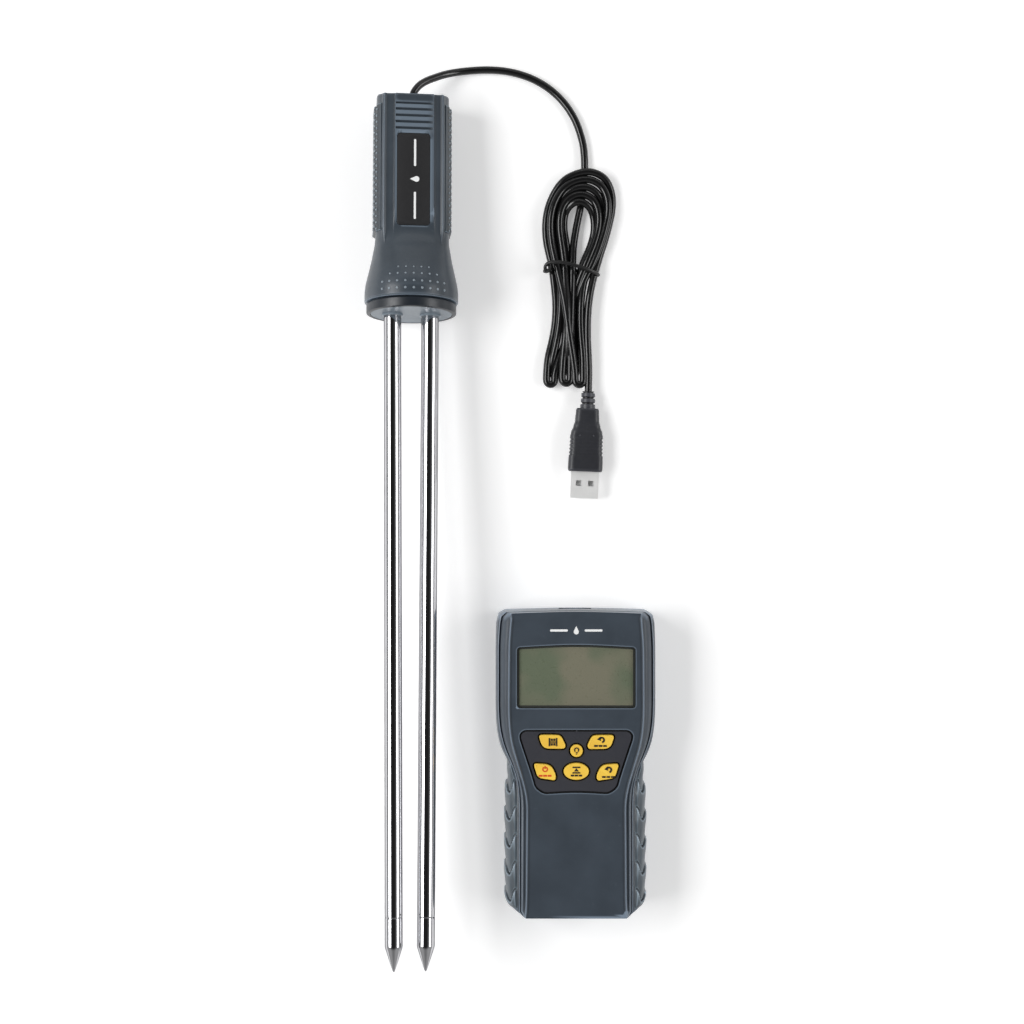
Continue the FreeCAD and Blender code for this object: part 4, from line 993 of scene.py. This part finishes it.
def display():
    """Acrylic window with a black printed border behind it, over the liquid crystal cell."""
    border = Shape()
    outer, inner, low_out, low_in = [border.ring(laid(grown(WINDOW, -inset), FACE_Z - depth))
                                     for depth in (1.35, BORDER_DEEP) for inset in (0.12, 1.05)]
    border.bridge(outer, inner)
    border.bridge(low_in, low_out)
    border.bridge(outer, low_out)
    border.bridge(inner, low_in)
    border.piece("window_border", DARK, METER, slot="display")
    cell = Shape()
    cell.slab(rounded(rectangle(50.6, 27.6, 0, 36.9), 0.6, 3), FACE_Z - 3.4, FACE_Z - 1.55, 0.1)
    cell.piece("display_cell", DISPLAY, METER, slot="display", stands_for=["display_glass"])
    pane = Shape()
    pane.slab(grown(WINDOW, -0.2), FACE_Z - 1.3, FACE_Z - 0.25, 0.12)
    pane.piece("window_pane", LENS, METER, slot="lens", stands_for=["display_lens"])


PRINT = 0.05


def drop(x, y, size, angle=0.0):
    """A plain water drop."""
    ring = [(0.0, 1.5)] + arc(0.85, 35, -215, 0, -0.45, 18)
    c, s = math.cos(angle), math.sin(angle)
    return [(x + size * (px * c - py * s), y + size * (px * s + py * c)) for px, py in ring]


def printed(name, rings, z, pose, material):
    """Flat print that stands a hair above a face at height z."""
    shape = Shape()
    for ring in rings:
        ring = anticlockwise(ring)
        shape.skin([laid(ring, z - PRINT), laid(ring, z + PRINT)], (True, True))
    shape.piece(name, material, pose, slot="white_plastic")


front_shell()
rear_shell()
battery_cover()
side_grip(-1, "meter_grip_left")
side_grip(1, "meter_grip_right")
key_panel()
for key_name, (key_x, key_y, key_ring) in KEYS.items():
    key_cap(key_name, key_x, key_y, key_ring)
key_marks()
display()
printed("meter_marks", [rounded(rectangle(7.4, 0.9, x, 56.0), 0.4, 3) for x in (-7.2, 7.2)]
        + [drop(0, 56.0, 1.25)], FACE_Z, METER, WHITE_INK)


# ------------------------------------------------------------------ probe handle
# stations of the handle: y, half width, half thickness, squareness (2 is round)
STATIONS = ((4.6, 19.4, 19.4, 2.0), (5.2, 19.7, 19.7, 2.0), (9.2, 19.7, 19.65, 2.0), (12.3, 19.3, 19.1, 2.05),
            (17.3, 18.1, 17.5, 2.2), (22.4, 16.9, 15.7, 2.5), (28.0, 15.9, 13.8, 2.9), (34.0, 15.4, 12.8, 3.3),
            (60.0, 15.3, 12.6, 3.4), (90.0, 15.0, 12.3, 3.4), (92.5, 14.8, 12.1, 3.4))
SECTION = rounded([(15.35, -6.0), (15.35, 7.4), (13.3, 10.5), (13.0, 11.5), (12.3, 12.05), (11.2, 11.35),
                   (8.9, 11.7), (8.5, 12.3), (-7.7, 12.3), (-8.1, 11.75), (-11.2, 11.35), (-12.3, 12.05),
                   (-13.0, 11.5), (-13.3, 10.5), (-15.35, 7.4), (-15.35, -6.0), (-12.5, -11.2), (12.5, -11.2)],
                  [5, 2, 0.3, 0.3, 0.3, 0.3, 0.3, 0.3, 0.3, 0.3, 0.3, 0.3, 0.3, 0.3, 2, 5, 3, 3], 2)
GROOVES = [76.6 + 2.7 * n for n in range(5)]
LABEL_RING = rounded(rectangle(13.5, 38.8, 0, 54.8), 1.6, 5)


def denser(points, longest):
    """A closed loop with its long sides divided."""
    out = []
    for a, b in zip(points, points[1:] + points[:1]):
        parts = max(1, math.ceil(math.dist(a, b) / longest))
        out += [mixed(a, b, k / parts) for k in range(parts)]
    return out


SECTION = denser(SECTION, 1.4)


def station(y):
    for a, b in zip(STATIONS, STATIONS[1:]):
        if a[0] <= y <= b[0]:
            return mixed(a, b, (y - a[0]) / (b[0] - a[0]))
    return STATIONS[-1]


def handle_point(y, x, z):
    """Where a point of the handle's creased section goes at a station, blended into the round bell."""
    _, wide, thick, square = station(y)
    size = math.hypot(x, z)
    c, s = abs(x) / size, abs(z) / size
    radius = ((c / wide) ** square + (s / thick) ** square) ** (-1 / square)
    creased = smooth(y, 25.5, 36.0)
    end = 1.0 - 0.01 * smooth(y, 60.0, 91.5) - 0.02 * smooth(y, 91.8, 92.5)
    panel = 1.0 if z < 0 else smooth(y, 33.0, 44.0)
    lift = (z - min(z, 11.9)) * (1 - panel) if abs(x) < 8.95 and z > 0 else 0.0
    return mixed((x / size * radius, z / size * radius), (x * end, (z - lift) * end), creased)


def groove_depth(y, x):
    if abs(x) > 7.45:
        return 0.0
    near = min(abs(y - g) for g in GROOVES)
    return 0.55 * (1 - smooth(near, 0.18, 0.62))


def handle_rows():
    rows = {4.6, 4.8, 5.0, 5.2, 92.1, 92.3, 92.5}
    rows.update(5.6 + 0.9 * k for k in range(41))
    rows.update(43.0 + 1.6 * k for k in range(20))
    for g in GROOVES:
        rows.update(g + d for d in (-0.65, -0.45, -0.3, -0.12, 0.12, 0.3, 0.45, 0.65))
    rows.update((89.0, 90.0, 91.0, 91.5, 91.7, 91.9))
    return sorted(rows)


def handle_half(upper):
    """One half of the handle, split level with the rods' axes, with a fine seam groove."""
    sign = 1 if upper else -1
    half = [p for p in SECTION if p[1] * sign > 0.3]
    half.sort(key=lambda p: math.atan2(p[1] * sign, p[0]))
    shape = Shape()
    rings = []
    for y in handle_rows():
        line = []
        for x, z in half:
            px, pz = handle_point(y, x, z)
            if upper and abs(x) < 8.4:
                pz -= groove_depth(y, x)
            line.append((px, y - 1.1 * smooth(y, 86.0, 92.5) * smooth(pz, 3.0, 12.0), pz))
        first, last = handle_point(y, 15.35, 0.001)[0], handle_point(y, -15.35, 0.001)[0]
        seam = [(first - 0.2, y, 0.06 * sign), (first, y, 0.3 * sign)]
        away = [(last, y, 0.3 * sign), (last + 0.2, y, 0.06 * sign)]
        if y > 91.2:
            inner = [(3.05 * px / math.hypot(px, pz), y, 3.05 * pz / math.hypot(px, pz))
                     for px, _, pz in line[::-1]]
        else:
            inner = [(px * 0.86, y, pz * 0.86) for px, _, pz in line[::-1]]
        inner[0] = (inner[0][0], y, 0.06 * sign)
        inner[-1] = (inner[-1][0], y, 0.06 * sign)
        rings.append(seam + line + away + inner)
    shape.skin(rings, (True, True))
    return shape


def bell_dots():
    """Rows of small moulded dots round the bell's upper side, coloured lighter than the handle as painted
    highlights.
    """
    shape = Shape()
    for y, spread, size in ((16.6, 2, 0.38), (13.7, 3, 0.45), (10.5, 4, 0.5), (7.5, 4, 0.55)):
        for n in range(-spread, spread + 1):
            angle = math.radians(90 - 10.2 * n)
            x, z = handle_point(y, math.cos(angle) * 12, math.sin(angle) * 12)
            normal = Vector((math.cos(angle), 0.12 if y > 9 else 0.0, math.sin(angle))).normalized()
            dome(shape, Vector((x, y, z)), normal, size, 0.4)
    shape.piece("bell_dots", HIGHLIGHT_DOT, PROBE, slot="handle")


def handle():
    top = handle_half(True).piece("handle_top", HANDLE, PROBE, slot="handle",
                                  stands_for=["handle_shell_top"], sharp=26)
    cut_with(top, [cutter(grown(LABEL_RING, 0.22), 11.75, 14.0, PROBE)])
    finish_shading(top.data, 26)
    bottom = handle_half(False).piece("handle_bottom", HANDLE, PROBE, slot="handle",
                                      stands_for=["handle_shell_bottom"], sharp=26)
    cut_with(bottom, [cutter(circle(2.4, 20, x, y), -20.0, -9.6, PROBE)
                      for x in (-9.5, 9.5) for y in (34.5, 80.0)])
    finish_shading(bottom.data, 26)
    plate = Shape()
    plate.slab(LABEL_RING, 11.8, 12.42, 0.15)
    plate.piece("label_plate", LABEL, PROBE, slot="label", stands_for=["handle_label"])
    bars = [rounded(rectangle(0.9, 11.5, 0.6, y), 0.4, 3) for y in (43.6, 66.0)]
    printed("label_marks", bars + [drop(0.6, 54.8, 1.4, math.pi / 2)], 12.42, PROBE, WHITE_INK)


TEETH, TOOTH_PITCH, ROWS_PER_TOOTH = 20, 2.7, 12


def toothed_grip(side, name, node):
    """Soft strip on the handle's side with a row of teeth."""
    shape = Shape()
    rings = []
    low, high = 33.4, 87.4
    rows = TEETH * ROWS_PER_TOOTH
    for row in range(rows + 1):
        y = low + (high - low) * row / rows
        phase = ((y - low) / TOOTH_PITCH) % 1.0
        tooth = smooth(math.sin(math.pi * phase), 0.25, 0.8)
        ends = smooth(y, low, low + 0.8) * (1 - smooth(y, high - 0.8, high))
        out = 15.3 + (0.15 + tooth) * ends
        section = rounded([(14.2, -7.0), (14.75, -7.0), (out, -5.8), (out, 5.6), (15.4, 7.2), (15.3, 8.0),
                           (13.55, 10.65), (13.2, 10.4), (13.6, 7.0)],
                          [0.1, 0.2, 0.6, 0.5, 0.3, 0.4, 0.15, 0.1, 0.3], 3)
        rings.append([(side * x, y, z) for x, z in section])
    shape.skin(rings, (True, True))
    shape.piece(name, HANDLE_RUBBER, PROBE, slot="handle_grip", stands_for=[node], sharp=40)


def grip_beads():
    """Two staggered columns of small beads along each soft strip, coloured lighter than the strip as painted
    highlights.
    """
    shape = Shape()
    for side in (-1, 1):
        for n in range(40):
            out, up, x, z = (0.9, 0.44, 15.9, 6.0) if n % 2 else (0.75, 0.66, 15.15, 8.1)
            dome(shape, Vector((side * x, 34.4 + n * 1.34, z)), Vector((side * out, 0.0, up)), 0.55, 0.5)
    shape.piece("handle_beads", HIGHLIGHT_DOT, PROBE, slot="handle_grip")


def nose():
    shape = Shape()
    turned(shape, [(17.2, 0.0), (18.2, 0.0), (18.75, 0.25), (18.9, 0.7), (18.9, 3.6), (18.6, 4.0),
                   (18.2, 4.3), (17.6, 4.5), (14.6, 4.5), (14.6, 1.5), (17.2, 1.4)], 96, caps=(False, False))
    shape.piece("nose_collar", COLLAR, PROBE, slot="collar", stands_for=["collar"])
    disc = Shape()
    turned(disc, [(17.1, 1.35), (17.15, 0.35), (17.0, 0.12), (16.6, 0.0), (16.0, 0.08), (15.6, 0.12)], 96)
    disc.piece("nose_face", NOSE, PROBE, slot="nose", stands_for=["nose_disc"])


LEANS = ((-1, 0.45, "left"), (1, 0.15, "right"))
ROD_X = 7.9


def rods():
    for side, lean, name in LEANS:
        tube = Shape()
        at = {"x": side * ROD_X, "lean": side * lean}
        straight = [(3.65, -1.5 - 0.15 * k) for k in range(3)] + [(3.65, -2.5 - 24.57 * k) for k in range(11)]
        straight += [(3.65, -248.5), (3.65, -248.7)]
        turned(tube, [(3.4, 16.0), (3.4, -1.2), (3.6, -1.25)] + straight + [(3.55, -248.95), (3.2, -249.0)],
               64, **at)
        tube.piece(f"rod_{name}", CHROME, PROBE, slot="chrome_steel",
                   stands_for=[f"probe_rod_{name}"], sharp=40)
        tip = Shape()
        turned(tip, [(3.2, -249.0), (3.55, -249.05), (3.65, -249.3), (3.65, -249.6), (3.65, -255.0),
                     (3.65, -260.4), (3.62, -260.9), (3.5, -261.4), (3.3, -262.0), (2.7, -263.9), (1.8, -266.7),
                     (0.9, -269.4), (0.55, -270.4), (0.3, -270.85), (0.05, -271.0)], 64, **at)
        tip.piece(f"tip_{name}", CHROME, PROBE, slot="chrome_steel",
                  stands_for=[f"rod_tip_{name}"], sharp=40)
    sleeves = Shape()
    for side, lean, _ in LEANS:
        turned(sleeves, [(3.55, 1.0), (4.35, 1.0), (4.35, -0.5), (4.15, -0.75), (3.55, -0.8)], 40,
               x=side * ROD_X, lean=side * lean, caps=(False, False))
    sleeves.piece("rod_sleeves", NOSE, PROBE, slot="insulator", stands_for=["rod_bushes"])


handle()
bell_dots()
toothed_grip(-1, "handle_teeth_left", "handle_grip_left")
toothed_grip(1, "handle_teeth_right", "handle_grip_right")
grip_beads()
nose()
rods()

# ------------------------------------------------------------------ finishes of the CAD nodes that stay
KEPT = {
    "usb_socket_shell": TIN, "usb_socket_tongue": WHITE, "usb_socket_contacts": GOLD,
    "display_frame": WHITE, "backlight_panel": WHITE, "contact_strip": ELASTOMER, "key_mat": ELASTOMER,
    "main_board": BOARD, "probe_board": BOARD, "controller_chip": CHIP, "signal_chips": CHIP,
    "probe_board_parts": CHIP, "board_capacitors": CAN, "dry_cells": CELL, "contact_plates": NICKEL,
    "contact_springs": NICKEL, "terminal_lugs": NICKEL, "case_screws": NICKEL, "handle_screws": NICKEL,
    "rod_studs": NICKEL, "stud_nuts": NICKEL, "rod_block": BLOCK, "rod_leads": CORD, "cord_clamp": DARK,
    "cord_grommet": CORD, "plug_shell": TIN, "plug_tongue": WHITE,
}
for name, item in frame["nodes"].items():
    if not item.hide_render:
        look = KEPT.get(name, CASE)
        for place in item.material_slots:
            place.material = look
